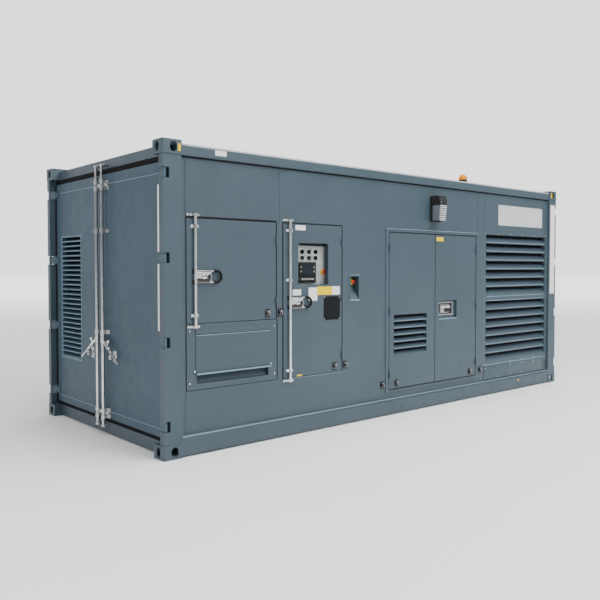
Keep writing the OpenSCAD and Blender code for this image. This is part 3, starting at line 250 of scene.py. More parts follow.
def moulded(name, colour, roughness=0.5, grain=600.0, depth=0.0004, gloss=0.3):
    """Moulded plastic or rubber: fine grain, faint dust, softened edges."""
    shader = Shader(name)
    dust = shader.noise(14.0, 6.0)
    base = shader.mixed(shader.ranged(dust, 0.45, 0.80, 0.0, 0.22), tinted(colour, 1.0),
                        tuple(channel * 0.8 + 0.02 for channel in colour))
    grained = shader.relief(shader.noise(grain, 2.0), depth, 0.25, edge=0.0025)
    return shader.finish(base, shader.ranged(dust, 0.3, 0.7, roughness - 0.08, roughness + 0.10), grained,
                         Specular_IOR_Level=gloss)


def see_through(name, colour, roughness, transmission, bend, gloss=0.5):
    """Glass or lens with faint smears."""
    shader = Shader(name)
    smear = shader.noise(18.0, 5.0)
    base = shader.mixed(shader.ranged(smear, 0.4, 0.7, 0.0, 0.35), colour, tinted(colour, 0.90))
    ripple = shader.relief(shader.noise(40.0, 2.0), 0.0004, 0.08)
    return shader.finish(base, shader.ranged(smear, 0.3, 0.8, roughness, roughness + 0.10), ripple,
                         Transmission_Weight=transmission, IOR=bend, Specular_IOR_Level=gloss)


def zoned(name, axis, looks, limits, mirrored=False):
    """Finishes that change along one axis of the part, as where painted hinges meet zinc-plated gear.
    Each look is (colour, metallic, roughness); each limit ends one look and starts the next."""
    shader = Shader(name)
    split = shader.add("ShaderNodeSeparateXYZ")
    shader.join(shader.place, split.inputs[0])
    along = split.outputs[axis]
    if mirrored:
        size = shader.add("ShaderNodeMath", operation="ABSOLUTE")
        shader.join(along, size.inputs[0])
        along = size.outputs[0]
    colour, metallic, roughness = looks[0]
    for limit, look in zip(limits, looks[1:]):
        past = shader.add("ShaderNodeMath", operation="GREATER_THAN")
        past.inputs[1].default_value = limit
        shader.join(along, past.inputs[0])
        colour = shader.mixed(past.outputs[0], colour, look[0])
        metallic = shader.mixed(past.outputs[0], metallic, look[1], "FLOAT")
        roughness = shader.mixed(past.outputs[0], roughness, look[2], "FLOAT")
    dull = shader.noise(24.0, 6.0)
    colour = shader.mixed(shader.ranged(dull, 0.45, 0.75, 0.0, 0.5), colour, (0.62, 0.62, 0.62),
                          blend="MULTIPLY")
    shader.join(metallic, shader.surface.inputs["Metallic"])
    worn = shader.relief(shader.noise(260.0, 3.0), 0.0004, 0.12, edge=0.002)
    return shader.finish(colour, roughness, worn)


def printed(name, colour, roughness=0.35, gloss=0.25):
    """A bare printed plate or film: faint yellowing, scuffs and a soft sheen."""
    shader = Shader(name)
    scuff = shader.noise(45.0, 7.0)
    cloud = shader.noise(7.0, 3.0)
    base = shader.mixed(shader.ranged(cloud, 0.35, 0.70, 0.0, 1.0),
                        tinted(colour, 0.93), tinted(colour, 1.03))
    base = shader.mixed(shader.ranged(scuff, 0.58, 0.80, 0.0, 0.35), base, tinted(colour, 0.72))
    creased = shader.relief(shader.noise(60.0, 3.0), 0.0004, 0.10)
    return shader.finish(base, shader.ranged(scuff, 0.3, 0.7, roughness, roughness + 0.18), creased,
                         Specular_IOR_Level=gloss)


MATERIALS = {
    "enclosure_paint": paint("enclosure_paint", ENCLOSURE),
    "end_door_paint": paint("end_door_paint", END_DOOR, 0.46, gloss=0.25),
    "roof_paint": paint("roof_paint", ROOF, 0.5, soil=0.55),
    "galvanised_steel": galvanised("galvanised_steel", GALVANISED),
    "black_rubber": moulded("black_rubber", RUBBER, 0.72, 380.0, 0.0008, 0.08),
    "black_plastic": moulded("black_plastic", BLACK, 0.42, gloss=0.18),
    "clear_pane": see_through("clear_pane", PANE, 0.01, 1.0, 1.15),
    "amber_lens": see_through("amber_lens", AMBER, 0.30, 0.05, 1.49, 0.08),
    "yellow_plastic": moulded("yellow_plastic", YELLOW, 0.38),
    "red_plastic": moulded("red_plastic", RED, 0.32),
    "cabinet_paint": paint("cabinet_paint", CABINET, 0.45),
    "floor_steel": paint("floor_steel", FLOOR_STEEL, 0.55),
}
LABELS = {
    "white": printed("label_white", LABEL_WHITE),
    "yellow": printed("label_yellow", LABEL_YELLOW, 0.5, 0.02),
    "dark": printed("label_dark", LABEL_DARK, 0.45, 0.06),
    "silver": printed("label_silver", LABEL_SILVER, 0.28),
}
SCREEN = moulded("insect_screen", SCREEN_TONE, 0.85, 900.0, 0.001, 0.05)
SCREEN_GLASS = moulded("screen_glass", DISPLAY, 0.12, 50.0, 0.0001)
FROSTED = moulded("frosted_lens", FROST, 0.25, 120.0, 0.0004)
LENS_SIDE = moulded("lens_side", LENS_CHEEK, 0.14, 60.0, 0.0010, 0.6)
# A pale copy of the enclosure paint, used as painted highlight on lips, folds, edges and sills
HIGHLIGHT_PAINT = paint("edge_paint", tinted(ENCLOSURE, 4.2), 0.35)
# A dark copy of the zinc plating, as painted shade
SHADE_ZINC_FINISH = galvanised("dull_plate", SHADE_ZINC, (0.22, 0.40))
PLATED = galvanised("bright_plate", PLATE_ZINC, (0.05, 0.16))
# Whiter, less metallic zinc for nuts, as painted highlight
HIGHLIGHT_NUTS = galvanised("bright_nuts", HIGHLIGHT_ZINC, (0.15, 0.28), 0.6)

# Finishes of mixed nodes, as (colour, metallic, roughness), and where along the part they change
PAINT_LOOK = (ENCLOSURE, 0.0, 0.42)
END_PAINT_LOOK = (END_DOOR, 0.0, 0.42)
STEEL_LOOK = (GALVANISED, 1.0, 0.24)
# The side rods' zinc, whiter than the end rods' same steel, as painted highlight
HIGHLIGHT_LOOK = (HIGHLIGHT_ZINC, 0.8, 0.20)
BLACK_LOOK = (BLACK, 0.0, 0.50)
HINGE_SPAN = 0.05
CLIP_SPAN = 0.14
END_HINGE_FROM = 1.02
GRIP_PLATE = 0.180


def mixed_fittings():
    """Finishes of the nodes that hold painted, plated and black fittings together."""
    pins = {joint["child"]: joint["pos_m"][0] for joint in frame["joints"]}
    end_gear = zoned("end_gear", 1, (STEEL_LOOK, END_PAINT_LOOK), (END_HINGE_FROM,), mirrored=True)
    finishes = {"end_right_fittings": end_gear, "end_left_fittings": end_gear, "far_fittings": end_gear}
    for node, body in (("cable_fittings", "cable_leaf"), ("control_fittings", "control_leaf")):
        limits = (pins[body] - CLIP_SPAN, pins[body] - HINGE_SPAN)
        finishes[node] = zoned(node, 0, (STEEL_LOOK, BLACK_LOOK, PAINT_LOOK), limits)
    left, right = pins["service_left_leaf"], pins["service_right_leaf"]
    finishes["service_left_fittings"] = zoned("service_left_fittings", 0, (PAINT_LOOK, BLACK_LOOK),
                                              (left + HINGE_SPAN,))
    finishes["service_right_fittings"] = zoned("service_right_fittings", 0, (BLACK_LOOK, PAINT_LOOK),
                                               (right - HINGE_SPAN,))
    # Side rods in whiter zinc as painted highlight; their grips black
    for node, body in (("cable_rod_gear", "cable_lock"), ("control_rod_gear", "control_lock")):
        finishes[node] = zoned(node, 0, (HIGHLIGHT_LOOK, BLACK_LOOK), (pins[body] + GRIP_PLATE,))
    # The end louvre's slats in a lighter copy of the end paint: painted light on slat faces that sit in shade
    finishes["end_left_louvre"] = paint("slat_paint", tinted(END_DOOR, 1.5), 0.46, gloss=0.25)
    for node, finish in finishes.items():
        frame["nodes"][node].data.materials[0] = finish


def dress_nodes():
    """Gives each carried-over node the material of its slot in the record."""
    slots = {part["node"]: part["material_slot"] for part in frame["record"]["subparts"]}
    for name, node in frame["nodes"].items():
        node.data.materials.clear()
        node.data.materials.append(MATERIALS[slots[name]])


# Fasteners and trim, in metres
BOLT_ACROSS = 0.010
BOLT_RISE = 0.006
SCREW_ACROSS = 0.010
SCREW_RISE = 0.004
SMALL_SCREW = (0.008, 0.003)
RIVET = (0.010, 0.003)
WASHER_EDGE = 0.003
LABEL_T = 0.0012
LABEL_CORNER = 0.006
BEAD_R = 0.0025
BEAD_STEP = 0.02
BEAD_RIPPLE = 0.12
RIPPLE_TURN = 2.4
EDGE_R = 0.003
STRIP_PROUD = 0.0015
STRIP_BEVEL = 0.0008
SCREEN_T = 0.004
SLEEVE_R = 0.011
NICHE_REACH = 0.020
SMOOTH_ANGLE = math.radians(40.0)


def solids(node):
    """Boxes of a node's separate solids, as (lowest corner, highest corner), lowest and leftmost first."""
    mesh = frame["nodes"][node].data
    keys = [tuple(round(value, 5) for value in vertex.co) for vertex in mesh.vertices]
    group = {key: key for key in keys}

    def root(key):
        while group[key] != key:
            group[key] = group[group[key]]
            key = group[key]
        return key

    for polygon in mesh.polygons:
        first = root(keys[polygon.vertices[0]])
        for index in polygon.vertices[1:]:
            group[root(keys[index])] = first
    boxes = {}
    for key in group:
        low, high = boxes.setdefault(root(key), (list(key), list(key)))
        for axis in range(3):
            low[axis] = min(low[axis], key[axis])
            high[axis] = max(high[axis], key[axis])
    found = [(Vector(low), Vector(high)) for low, high in boxes.values()]
    return sorted(found, key=lambda pair: (round(pair[0].z, 3), pair[0].x, pair[0].y))


def rounded(x0, x1, z0, z1, corner, steps=4):
    """Corner points of a rectangle with round corners, as (x, z), anticlockwise seen from -Y."""
    centres = ((x1 - corner, z1 - corner, 0.0), (x0 + corner, z1 - corner, 0.5),
               (x0 + corner, z0 + corner, 1.0), (x1 - corner, z0 + corner, 1.5))
    points = []
    for x, z, start in centres:
        for step in range(steps + 1):
            angle = math.pi * (start + 0.5 * step / steps)
            points.append((x + corner * math.cos(angle), z + corner * math.sin(angle)))
    return points


class Mesh:
    """Collects shapes in one mesh and ends them as a piece that rides on a body."""

    def __init__(self):
        self.bm = bmesh.new()

    def ring(self, centre, spin, radius, sides, turn=0.0):
        """Corners of a regular polygon round centre, in the plane that spin gives."""
        corners = []
        for step in range(sides):
            angle = turn + 2 * math.pi * step / sides
            corner = Vector((radius * math.cos(angle), radius * math.sin(angle), 0.0))
            corners.append(self.bm.verts.new(centre + spin @ corner))
        return corners

    def skin(self, rings, closed=False):
        """Faces from each ring to the next, with flat ends unless the last ring meets the first."""
        pairs = list(zip(rings, rings[1:]))
        if closed:
            pairs.append((rings[-1], rings[0]))
        for low, high in pairs:
            for step in range(len(low)):
                after = (step + 1) % len(low)
                self.bm.faces.new((low[step], low[after], high[after], high[step]))
        if not closed:
            self.bm.faces.new(tuple(reversed(rings[0])))
            self.bm.faces.new(tuple(rings[-1]))
        return self

    def lathe(self, place, axis, profile, sides=20, turn=0.0):
        """Turns (radius, height) points about axis at place; both ends are flat."""
        spin = Vector(axis).to_track_quat("Z", "Y").to_matrix()
        rings = []
        for radius, height in profile:
            centre = Vector(place) + spin @ Vector((0.0, 0.0, height))
            rings.append(self.ring(centre, spin, radius, sides, turn))
        return self.skin(rings)

    def slab(self, low, high, bevel=0.001):
        """A box with bevelled edges."""
        made = bmesh.ops.create_cube(self.bm, size=1.0)["verts"]
        for vertex in made:
            vertex.co = [(low[i] + high[i]) / 2 + vertex.co[i] * (high[i] - low[i]) for i in range(3)]
        edges = list(dict.fromkeys(edge for vertex in made for edge in vertex.link_edges))
        bmesh.ops.bevel(self.bm, geom=edges, offset=bevel, segments=2, profile=0.6, affect="EDGES")
        return self

    def strip(self, x0, x1, z0, z1, front, back):
        """A thin strip along X or Z, from front to back in Y."""
        self.slab((x0, front, z0), (x1, back, z1), STRIP_BEVEL)

    def outline(self, points, depth):
        """A flat outline of points drawn out by the vector depth, both ends closed."""
        first = [self.bm.verts.new(Vector(point)) for point in points]
        second = [self.bm.verts.new(Vector(point) + Vector(depth)) for point in points]
        return self.skin([first, second])

    def plate(self, face, x0, x1, z0, z1, thick=LABEL_T, corner=LABEL_CORNER):
        """A thin plate with round corners on a face that looks to -Y."""
        points = [(x, face, z) for x, z in rounded(x0, x1, z0, z1, corner)]
        return self.outline(points, (0.0, -thick, 0.0))

    def tube(self, points, radius, sides=8, closed=False, ripple=0.0):
        """A round bar along points; ripple varies its radius from point to point, as on a weld bead."""
        points = [Vector(point) for point in points]
        count = len(points)
        rings = []
        for index, point in enumerate(points):
            before = points[index - 1] if index or closed else point
            after = points[(index + 1) % count] if index + 1 < count or closed else point
            spin = (after - before).to_track_quat("Z", "Y").to_matrix()
            size = radius * (1.0 + ripple * math.sin(RIPPLE_TURN * index))
            rings.append(self.ring(point, spin, size, sides))
        return self.skin(rings, closed)

    def rail(self, x0, x1, y, z, radius=EDGE_R, sides=8):
        """A straight round bar along X."""
        return self.tube([(x0, y, z), (x1, y, z)], radius, sides)

    def bead(self, start, end, radius=BEAD_R):
        """A weld bead from start to end."""
        start, end = Vector(start), Vector(end)
        steps = max(2, round((end - start).length / BEAD_STEP))
        points = [start.lerp(end, step / steps) for step in range(steps + 1)]
        self.tube(points, radius, 6, ripple=BEAD_RIPPLE)

    def bolt(self, place, axis, across=BOLT_ACROSS, rise=BOLT_RISE, turn=0.3):
        """A hexagon head with a bevelled top on a round washer."""
        washer = across / 2 + WASHER_EDGE
        thin = rise * 0.22
        self.lathe(place, axis, ((washer, 0.0), (washer, thin * 0.7), (washer * 0.94, thin)), 18)
        half = across / 2 / math.cos(math.pi / 6)
        self.lathe(place, axis, ((half, thin), (half, rise * 0.85), (half * 0.86, rise)), 6, turn)

    def screw(self, place, axis, across=SCREW_ACROSS, rise=SCREW_RISE):
        """A domed round head."""
        half = across / 2
        self.lathe(place, axis, ((half, 0.0), (half, rise * 0.35), (half * 0.85, rise * 0.75),
                                 (half * 0.45, rise), (half * 0.2, rise)), 14)

    def piece(self, name, slot, body="container", material=None):
        """Ends the mesh as a named object with its finish, riding on a body."""
        bmesh.ops.recalc_face_normals(self.bm, faces=self.bm.faces)
        mesh = bpy.data.meshes.new(name)
        self.bm.to_mesh(mesh)
        self.bm.free()
        mesh.materials.append(material or MATERIALS[slot])
        mesh.shade_smooth()
        mesh.set_sharp_from_angle(angle=SMOOTH_ANGLE)
        made = bpy.data.objects.new(name, mesh)
        bpy.context.scene.collection.objects.link(made)
        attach(made, body)
        return made


# Directions that faces look to
FRONT = (0.0, -1.0, 0.0)
REAR = (0.0, 1.0, 0.0)
NEAR = (-1.0, 0.0, 0.0)
FAR = (1.0, 0.0, 0.0)
UP = (0.0, 0.0, 1.0)

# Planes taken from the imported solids
PILLARS_LOW, PILLARS_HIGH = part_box("front_wall_pillars")
FRONT_WALL, WALL_INSIDE = PILLARS_LOW.y, PILLARS_HIGH.y
WALL_FOOT, WALL_HEAD = PILLARS_LOW.z, PILLARS_HIGH.z
REAR_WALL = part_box("rear_wall_pillars")[1].y
LEAF_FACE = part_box("end_door_right")[0].x
FAR_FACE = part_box("far_doors")[1].x
POST_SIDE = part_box("corner_posts")[0].y
RAIL_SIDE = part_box("top_side_rails")[0].y
SERVICE_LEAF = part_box("service_left")[0].y
CASTING_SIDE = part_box("corner_castings")[0].y

# Front and back of a strip let into the front wall
WALL_STRIP = (FRONT_WALL - STRIP_PROUD, FRONT_WALL + STRIP_PROUD)

# The walls with a large louvre: name, outer face, direction
LOUVRE_WALLS = (("front", FRONT_WALL, FRONT), ("rear", REAR_WALL, REAR))


def spread(start, end, pitch):
    """Even steps from start to end, about pitch apart."""
    count = max(1, round(abs(end - start) / pitch))
    return [start + (end - start) * step / count for step in range(count + 1)]


def corners(x0, x1, z0, z1):
    """The four corners of a rectangle, as (x, z)."""
    return [(x, z) for x in (x0, x1) for z in (z0, z1)]


def louvre_bolts():
    """Bolts round both large louvre frames."""
    rim, pitch_x, pitch_z = 0.018, 0.27, 0.26
    for side, wall, axis in LOUVRE_WALLS:
        low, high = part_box(side + "_louvre")
        columns, rows = (low.x + rim, high.x - rim), (low.z + rim, high.z - rim)
        mesh = Mesh()
        for x in spread(*columns, pitch_x):
            for z in rows:
                mesh.bolt((x, wall, z), axis)
        for z in spread(*rows, pitch_z)[1:-1]:
            for x in columns:
                mesh.bolt((x, wall, z), axis)
        mesh.piece(side + "_louvre_bolts", "galvanised_steel")


def louvre_covers():
    """The bolted cover sheet below each large louvre, with a painted highlight along its head."""
    inset, thick, rim, pitch, joint, edge = 0.008, 0.003, 0.022, 0.30, 0.006, 0.004
    for side, wall, axis in LOUVRE_WALLS:
        name = side + "_cover"
        low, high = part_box(side + "_louvre")
        left, right = low.x + inset, high.x - inset
        foot, head = WALL_FOOT + inset, low.z - inset
        face = wall + axis[1] * thick
        sheet = Mesh().slab((left, min(wall, face), foot), (right, max(wall, face), head))
        sheet.piece(name, "enclosure_paint")
        dark_strips = Mesh()
        for x in (left - joint, right):
            dark_strips.strip(x, x + joint, foot, head, wall - STRIP_PROUD, wall + STRIP_PROUD)
        dark_strips.strip(left, right, foot - joint, foot, wall - STRIP_PROUD, wall + STRIP_PROUD)
        dark_strips.piece(name + "_joint", "black_rubber")
        bolts = Mesh()
        for x in spread(low.x + rim, high.x - rim, pitch):
            for z in (foot + rim, head - rim):
                bolts.bolt((x, face, z), axis)
        bolts.piece(name + "_bolts", "galvanised_steel")
        # A pale bar along the cover's head, as painted highlight
        bright = Mesh().rail(left, right, wall, low.z + edge, edge)
        bright.piece(name + "_edge", "enclosure_paint", material=HIGHLIGHT_PAINT)


def rail_edges():
    """Painted highlights along the upper edges of the bottom rails and along the sill below the control door."""
    seat, rail_r, sill_r, sill_drop = 0.001, 0.004, 0.002, 0.012
    low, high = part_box("bottom_side_rails")
    door_low, door_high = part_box("control_door")
    edges = Mesh()
    for y in (low.y + seat, high.y - seat):
        edges.rail(low.x, high.x, y, high.z, rail_r)
    edges.rail(door_low.x, door_high.x, FRONT_WALL, door_low.z - sill_drop, sill_r)
    edges.piece("rail_edges", "enclosure_paint", material=HIGHLIGHT_PAINT)


def outlet_bolts():
    """Corner bolts of the cable outlet's panel, its hood's bolts and the dark joint round the panel, widened on
    its right side as painted shadow.
    """
    edge, joint_w, shade_w = 0.028, 0.005, 0.013
    lug_x, lug_t, lug_rise = 0.013, 0.005, 0.152
    low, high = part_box("outlet_panel")
    hood_low, hood_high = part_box("cable_hood")
    joint = Mesh()
    joint.strip(low.x - joint_w, low.x, low.z, high.z, *WALL_STRIP)
    # The wider strip on the right is painted shadow beside the panel
    joint.strip(high.x, high.x + shade_w, low.z, high.z, *WALL_STRIP)
    joint.strip(low.x, high.x, low.z - joint_w, low.z, *WALL_STRIP)
    joint.piece("outlet_joint", "black_rubber")
    bolts = Mesh()
    for x, z in corners(low.x + edge, high.x - edge, low.z + 2 * edge, high.z - 2 * edge):
        bolts.bolt((x, low.y, z), FRONT)
    for x in (hood_low.x + lug_x, hood_high.x - lug_x):
        bolts.bolt((x, low.y - lug_t, low.z + lug_rise), FRONT)
    bolts.piece("outlet_bolts", "galvanised_steel")


def cable_slot():
    """A folded lip along the hood's lower edge and a bar at its fold, both in pale paint as painted highlight, a
    black strip just above the fold as painted shade, and the sloped sheet that closes the slot.
    """
    lug, seat, lip_r, hood_t, fold_drop, sheet_t = 0.026, 0.002, 0.006, 0.005, 0.057, 0.003
    low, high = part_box("cable_hood")
    panel_low, panel_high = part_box("outlet_panel")
    left, right = low.x + lug, high.x - lug
    fold, face = high.z - fold_drop, panel_low.y - hood_t
    # Pale bars at the hood's lip and fold, as painted highlight
    lip = Mesh()
    lip.rail(left, right, low.y + seat, low.z + seat, lip_r, 12)
    lip.rail(left, right, face, fold)
    lip.piece("hood_lip", "enclosure_paint", material=HIGHLIGHT_PAINT)
    # A black strip above the fold, as painted shade
    fold_shade = Mesh().slab((left, face - 0.001, fold + 0.003), (right, face + 0.001, fold + 0.008), 0.0005)
    fold_shade.piece("hood_crease", "black_rubber")
    sheet = Mesh()
    front, back = panel_low.y + 0.020, panel_high.y + 0.060
    foot, head = panel_low.z + 0.050, low.z + 0.090
    section = ((front, foot), (back, head), (back, head + sheet_t), (front, foot + sheet_t))
    sheet.outline([(low.x, y, z) for y, z in section], (high.x - low.x, 0.0, 0.0))
    sheet.piece("slot_sheet", "enclosure_paint")


def end_fitting_bolts(node, name, body, face, axis):
    """Bolts in the ears of the rod guides and in the catches' plates of one end."""
    plate_t, hinge_side, rod_side, ear, row, tall_guide = 0.008, 1.1, 0.05, 0.020, 0.018, 0.06
    corner_y, corner_z, catch_bolt = 0.010, 0.012, (0.012, 0.006)
    plate = face + axis[0] * plate_t
    mesh = Mesh()
    for low, high in solids(node):
        side = 1.0 if low.y + high.y > 0 else -1.0
        inner, outer = sorted((abs(low.y), abs(high.y)))
        if outer > hinge_side:
            continue
        if inner < rod_side:
            tall = high.z - low.z > tall_guide
            for z in (low.z + row, high.z - row) if tall else ((low.z + high.z) / 2,):
                mesh.bolt((plate, side * (outer - ear), z), axis)
        else:
            for y, z in corners(inner + corner_y, outer - corner_y, low.z + corner_z, high.z - corner_z):
                mesh.bolt((plate, side * y, z), axis, *catch_bolt)
    mesh.piece(name, "galvanised_steel", body)


def side_fitting_bolts(node, name, body):
    """Cap nuts in the ears of a side rod's guides, in a whiter zinc as painted highlight."""
    guide_wide, ear, ear_t, nut = 0.055, 0.008, 0.004, (0.018, 0.012)
    mesh = Mesh()
    for low, high in solids(node):
        if high.x - low.x > guide_wide:
            for x in (low.x + ear, high.x - ear):
                mesh.bolt((x, FRONT_WALL - ear_t, (low.z + high.z) / 2), FRONT, *nut)
    mesh.piece(name, "galvanised_steel", body, HIGHLIGHT_NUTS)


def keeper_bolts():
    """A thin plate in dark zinc as painted shade, with cap nuts in whiter zinc as painted highlight, on each side
    of the keepers that hold the side rods' ends.
    """
    side_keepers, half, thick, corner, nut = -1.15, 0.008, 0.003, 0.004, (0.015, 0.012)
    nuts, plates = Mesh(), Mesh()
    for low, high in solids("keepers"):
        if high.y > side_keepers:
            continue
        level = (low.z + high.z) / 2
        for x0, x1, places in ((low.x - 0.052, low.x, (low.x - 0.040, low.x - 0.012)),
                               (high.x, high.x + 0.025, (high.x + 0.012,))):
            plates.plate(high.y, x0, x1, level - half, level + half, thick, corner)
            for x in places:
                nuts.bolt((x, high.y - thick, level), FRONT, *nut)
    # Whiter nuts as painted highlight, dark plates as painted shade
    nuts.piece("keeper_bolts", "galvanised_steel", material=HIGHLIGHT_NUTS)
    plates.piece("keeper_plates", "galvanised_steel", material=SHADE_ZINC_FINISH)


# Bends of a clip's wire hook, from the middle of the clip's outer face
HOOK_BENDS = ((-0.012, 0.003, -0.020), (-0.012, 0.001, 0.0), (-0.008, 0.001, 0.016), (0.0, 0.001, 0.021),
              (0.008, 0.001, 0.016), (0.012, 0.001, 0.0), (0.012, 0.003, -0.020))
HOOK_R = 0.0028


def clip_hooks():
    """A wire hook, four screws and a backing pad on each hold-open clip."""
    wide, tall, slack = 0.050, 0.052, 0.002
    pad_x, pad_z, pad_t, pad_corner = 0.003, 0.013, 0.002, 0.004
    screw_x, screw_z, flange_t = 0.012, 0.0045, 0.005
    for node, body in (("wall_clips", "container"), ("cable_fittings", "cable_leaf"),
                       ("control_fittings", "control_leaf"), ("service_left_fittings", "service_left_leaf"),
                       ("service_right_fittings", "service_right_leaf")):
        hooks, pads = Mesh(), Mesh()
        for low, high in solids(node):
            if abs(high.x - low.x - wide) > slack or abs(high.z - low.z - tall) > slack:
                continue
            pads.plate(high.y, low.x - pad_x, high.x + pad_x, low.z - pad_z, high.z + pad_z,
                       pad_t, pad_corner)
            for x, z in corners(low.x + screw_x, high.x - screw_x, low.z + screw_z, high.z - screw_z):
                hooks.screw((x, high.y - flange_t, z), FRONT, *SMALL_SCREW)
            middle, level = (low.x + high.x) / 2, (low.z + high.z) / 2
            hooks.tube([(middle + x, low.y + y, level + z) for x, y, z in HOOK_BENDS], HOOK_R)
        hooks.piece("hook_" + node, "galvanised_steel", body)
        pads.piece("pad_" + node, "black_plastic", body)


def label_sheet(name, body, finish, *plates):
    """Bare plates on one body; each is (face, x0, x1, z0, z1), with its own corner where it differs."""
    mesh = Mesh()
    for face, x0, x1, z0, z1, *corner in plates:
        mesh.plate(face, x0, x1, z0, z1, LABEL_T, *corner)
    mesh.piece(name, "enclosure_paint", body, LABELS[finish])


def labels():
    """Bare plates and strips where the real one carries its labels."""
    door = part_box("control_door")[0].y
    label_sheet("control_white_labels", "control_leaf", "white",
                (door, -1.616, -1.492, 1.910, 1.955), (door, -1.649, -1.547, 1.299, 1.354),
                (door, -1.453, -1.343, 1.243, 1.369), (door, -1.150, -1.044, 1.295, 1.377))
    label_sheet("control_yellow_labels", "control_leaf", "yellow",
                (door, -1.343, -1.150, 1.296, 1.377), (door, -1.598, -1.536, 0.538, 0.553, 0.003))
    label_sheet("service_yellow_label", "service_right_leaf", "yellow",
                (SERVICE_LEAF, 0.462, 0.588, 1.858, 1.905))
    label_sheet("frame_white_labels", "container", "white",
                (RAIL_SIDE, -2.525, -2.410, 2.500, 2.544), (POST_SIDE, 2.880, 2.990, 1.210, 2.405))
    label_sheet("yellow_tags", "container", "yellow",
                (CASTING_SIDE, -2.887, -2.861, 2.500, 2.560, 0.004),
                (CASTING_SIDE, 2.882, 2.908, 2.500, 2.560, 0.004),
                (POST_SIDE, 2.112, 2.136, 0.102, 0.126, 0.005))

    x0, x1, z0, z1, thick, inset = -1.258, -1.042, 1.050, 1.279, 0.002, 0.010
    dark = Mesh().plate(door, x0, x1, z0, z1, thick)
    dark.piece("control_rating_plate", "enclosure_paint", "control_leaf", LABELS["dark"])
    rivets = Mesh()
    for x, z in corners(x0 + inset, x1 - inset, z0 + inset, z1 - inset):
        rivets.screw((x, door - thick, z), FRONT, *RIVET)
    rivets.piece("control_plate_rivets", "galvanised_steel", "control_leaf")

    strip = Mesh()
    for z0, z1 in ((1.035, 1.588), (1.688, 2.240)):
        points = [(LEAF_FACE, y, z) for y, z in rounded(-1.112, -1.012, z0, z1, LABEL_CORNER)]
        strip.outline(points, (-LABEL_T, 0.0, 0.0))
    strip.piece("end_white_strip", "end_door_paint", "end_right_leaf", LABELS["white"])


def sign():
    """The bare sign plate over the large louvre: two pale panels on a silver board."""
    x0, x1, z0, z1 = 1.693, 2.710, 2.088, 2.340
    board_t, board_corner, panel_t, panel_corner = 0.002, 0.008, 0.001, 0.004
    edge, split, joint = 0.012, 2.060, 0.005
    board = Mesh().plate(FRONT_WALL, x0, x1, z0, z1, board_t, board_corner)
    board.piece("sign_board", "enclosure_paint", material=LABELS["silver"])
    for name, left, right in (("sign_panel_left", x0 + edge, split - joint),
                              ("sign_panel_right", split + joint, x1 - edge)):
        panel = Mesh()
        panel.plate(FRONT_WALL - board_t, left, right, z0 + edge, z1 - edge, panel_t, panel_corner)
        panel.piece(name, "enclosure_paint", material=LABELS["silver"])


def seams():
    """Weld beads along panel joints, posts and rails, a black strip under each top rail as painted shadow, and
    pale beads as painted highlight along the end leaves' folds.
    """
    frame_r, post_r, head_r, foot_r, fold_r = 0.004, 0.005, 0.004, 0.003, 0.0022
    frame_low, frame_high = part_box("service_frame")
    louvre_low, louvre_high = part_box("front_louvre")
    cable_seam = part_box("cable_door")[1].x + 0.040
    door_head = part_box("control_door")[1].z + 0.006
    post_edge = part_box("corner_castings")[0].x + 0.178
    panel_edge = post_edge + 0.048
    welds = Mesh()

    def upright(x, wall, foot, head, radius=BEAD_R):
        welds.bead((x, wall, foot), (x, wall, head), radius)

    def level(x0, x1, wall, z, radius):
        welds.bead((x0, wall, z), (x1, wall, z), radius)

    upright(cable_seam, FRONT_WALL, door_head, WALL_HEAD)
    upright(louvre_low.x, FRONT_WALL, louvre_high.z, WALL_HEAD)
    upright(frame_high.x, FRONT_WALL, frame_high.z, WALL_HEAD)
    for x in (louvre_low.x, louvre_high.x):
        upright(x, FRONT_WALL, WALL_FOOT, louvre_low.z)
    for x in (frame_low.x, frame_high.x):
        upright(x, FRONT_WALL, frame_low.z, frame_high.z, frame_r)
    for z in (frame_low.z, frame_high.z):
        level(frame_low.x, frame_high.x, FRONT_WALL, z, frame_r)
    for wall in (FRONT_WALL, REAR_WALL):
        for x in (post_edge, -post_edge):
            upright(x, wall, WALL_FOOT, WALL_HEAD, post_r)
        for x in (panel_edge, -panel_edge):
            upright(x, wall, WALL_FOOT, WALL_HEAD)
        level(post_edge, -post_edge, wall, WALL_HEAD, head_r)
        level(post_edge, -post_edge, wall, WALL_FOOT, foot_r)
    welds.piece("wall_welds", "enclosure_paint")

    # A black strip under each top rail, as painted shadow
    deep, tall = 0.003, 0.014
    dark_strips = Mesh()
    for wall in (FRONT_WALL - deep, REAR_WALL):
        dark_strips.slab((post_edge, wall, WALL_HEAD - tall), (-post_edge, wall + deep, WALL_HEAD))
    dark_strips.piece("rail_seals", "black_rubber")

    # Pale beads along the end leaves' folds, as painted highlight
    rise, drop, inner, outer = 0.069, 0.091, 0.135, 1.100
    for name, body, face, sides in (("end_right_folds", "end_right_leaf", LEAF_FACE, (-1.0,)),
                                    ("end_left_folds", "end_left_leaf", LEAF_FACE, (1.0,)),
                                    ("far_folds", "container", FAR_FACE, (-1.0, 1.0))):
        low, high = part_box("far_doors" if body == "container" else "end_door_right")
        folds = Mesh()
        for side in sides:
            for z in (low.z + rise, high.z - drop):
                folds.bead((face, side * inner, z), (face, side * outer, z), fold_r)
        folds.piece(name, "end_door_paint", body, HIGHLIGHT_PAINT)


def lip_levels(node, axis, face, rise):
    """Upper edges of a louvre's folded blade lips, found from the corners on its outer face."""
    levels = {round(vertex.co.z, 4) for vertex in frame["nodes"][node].data.vertices
              if abs(vertex.co[axis] - face) < 0.0005}
    lips = sorted(levels)[1:-1]
    return [z + rise for z in lips if round(z + rise, 4) in lips]


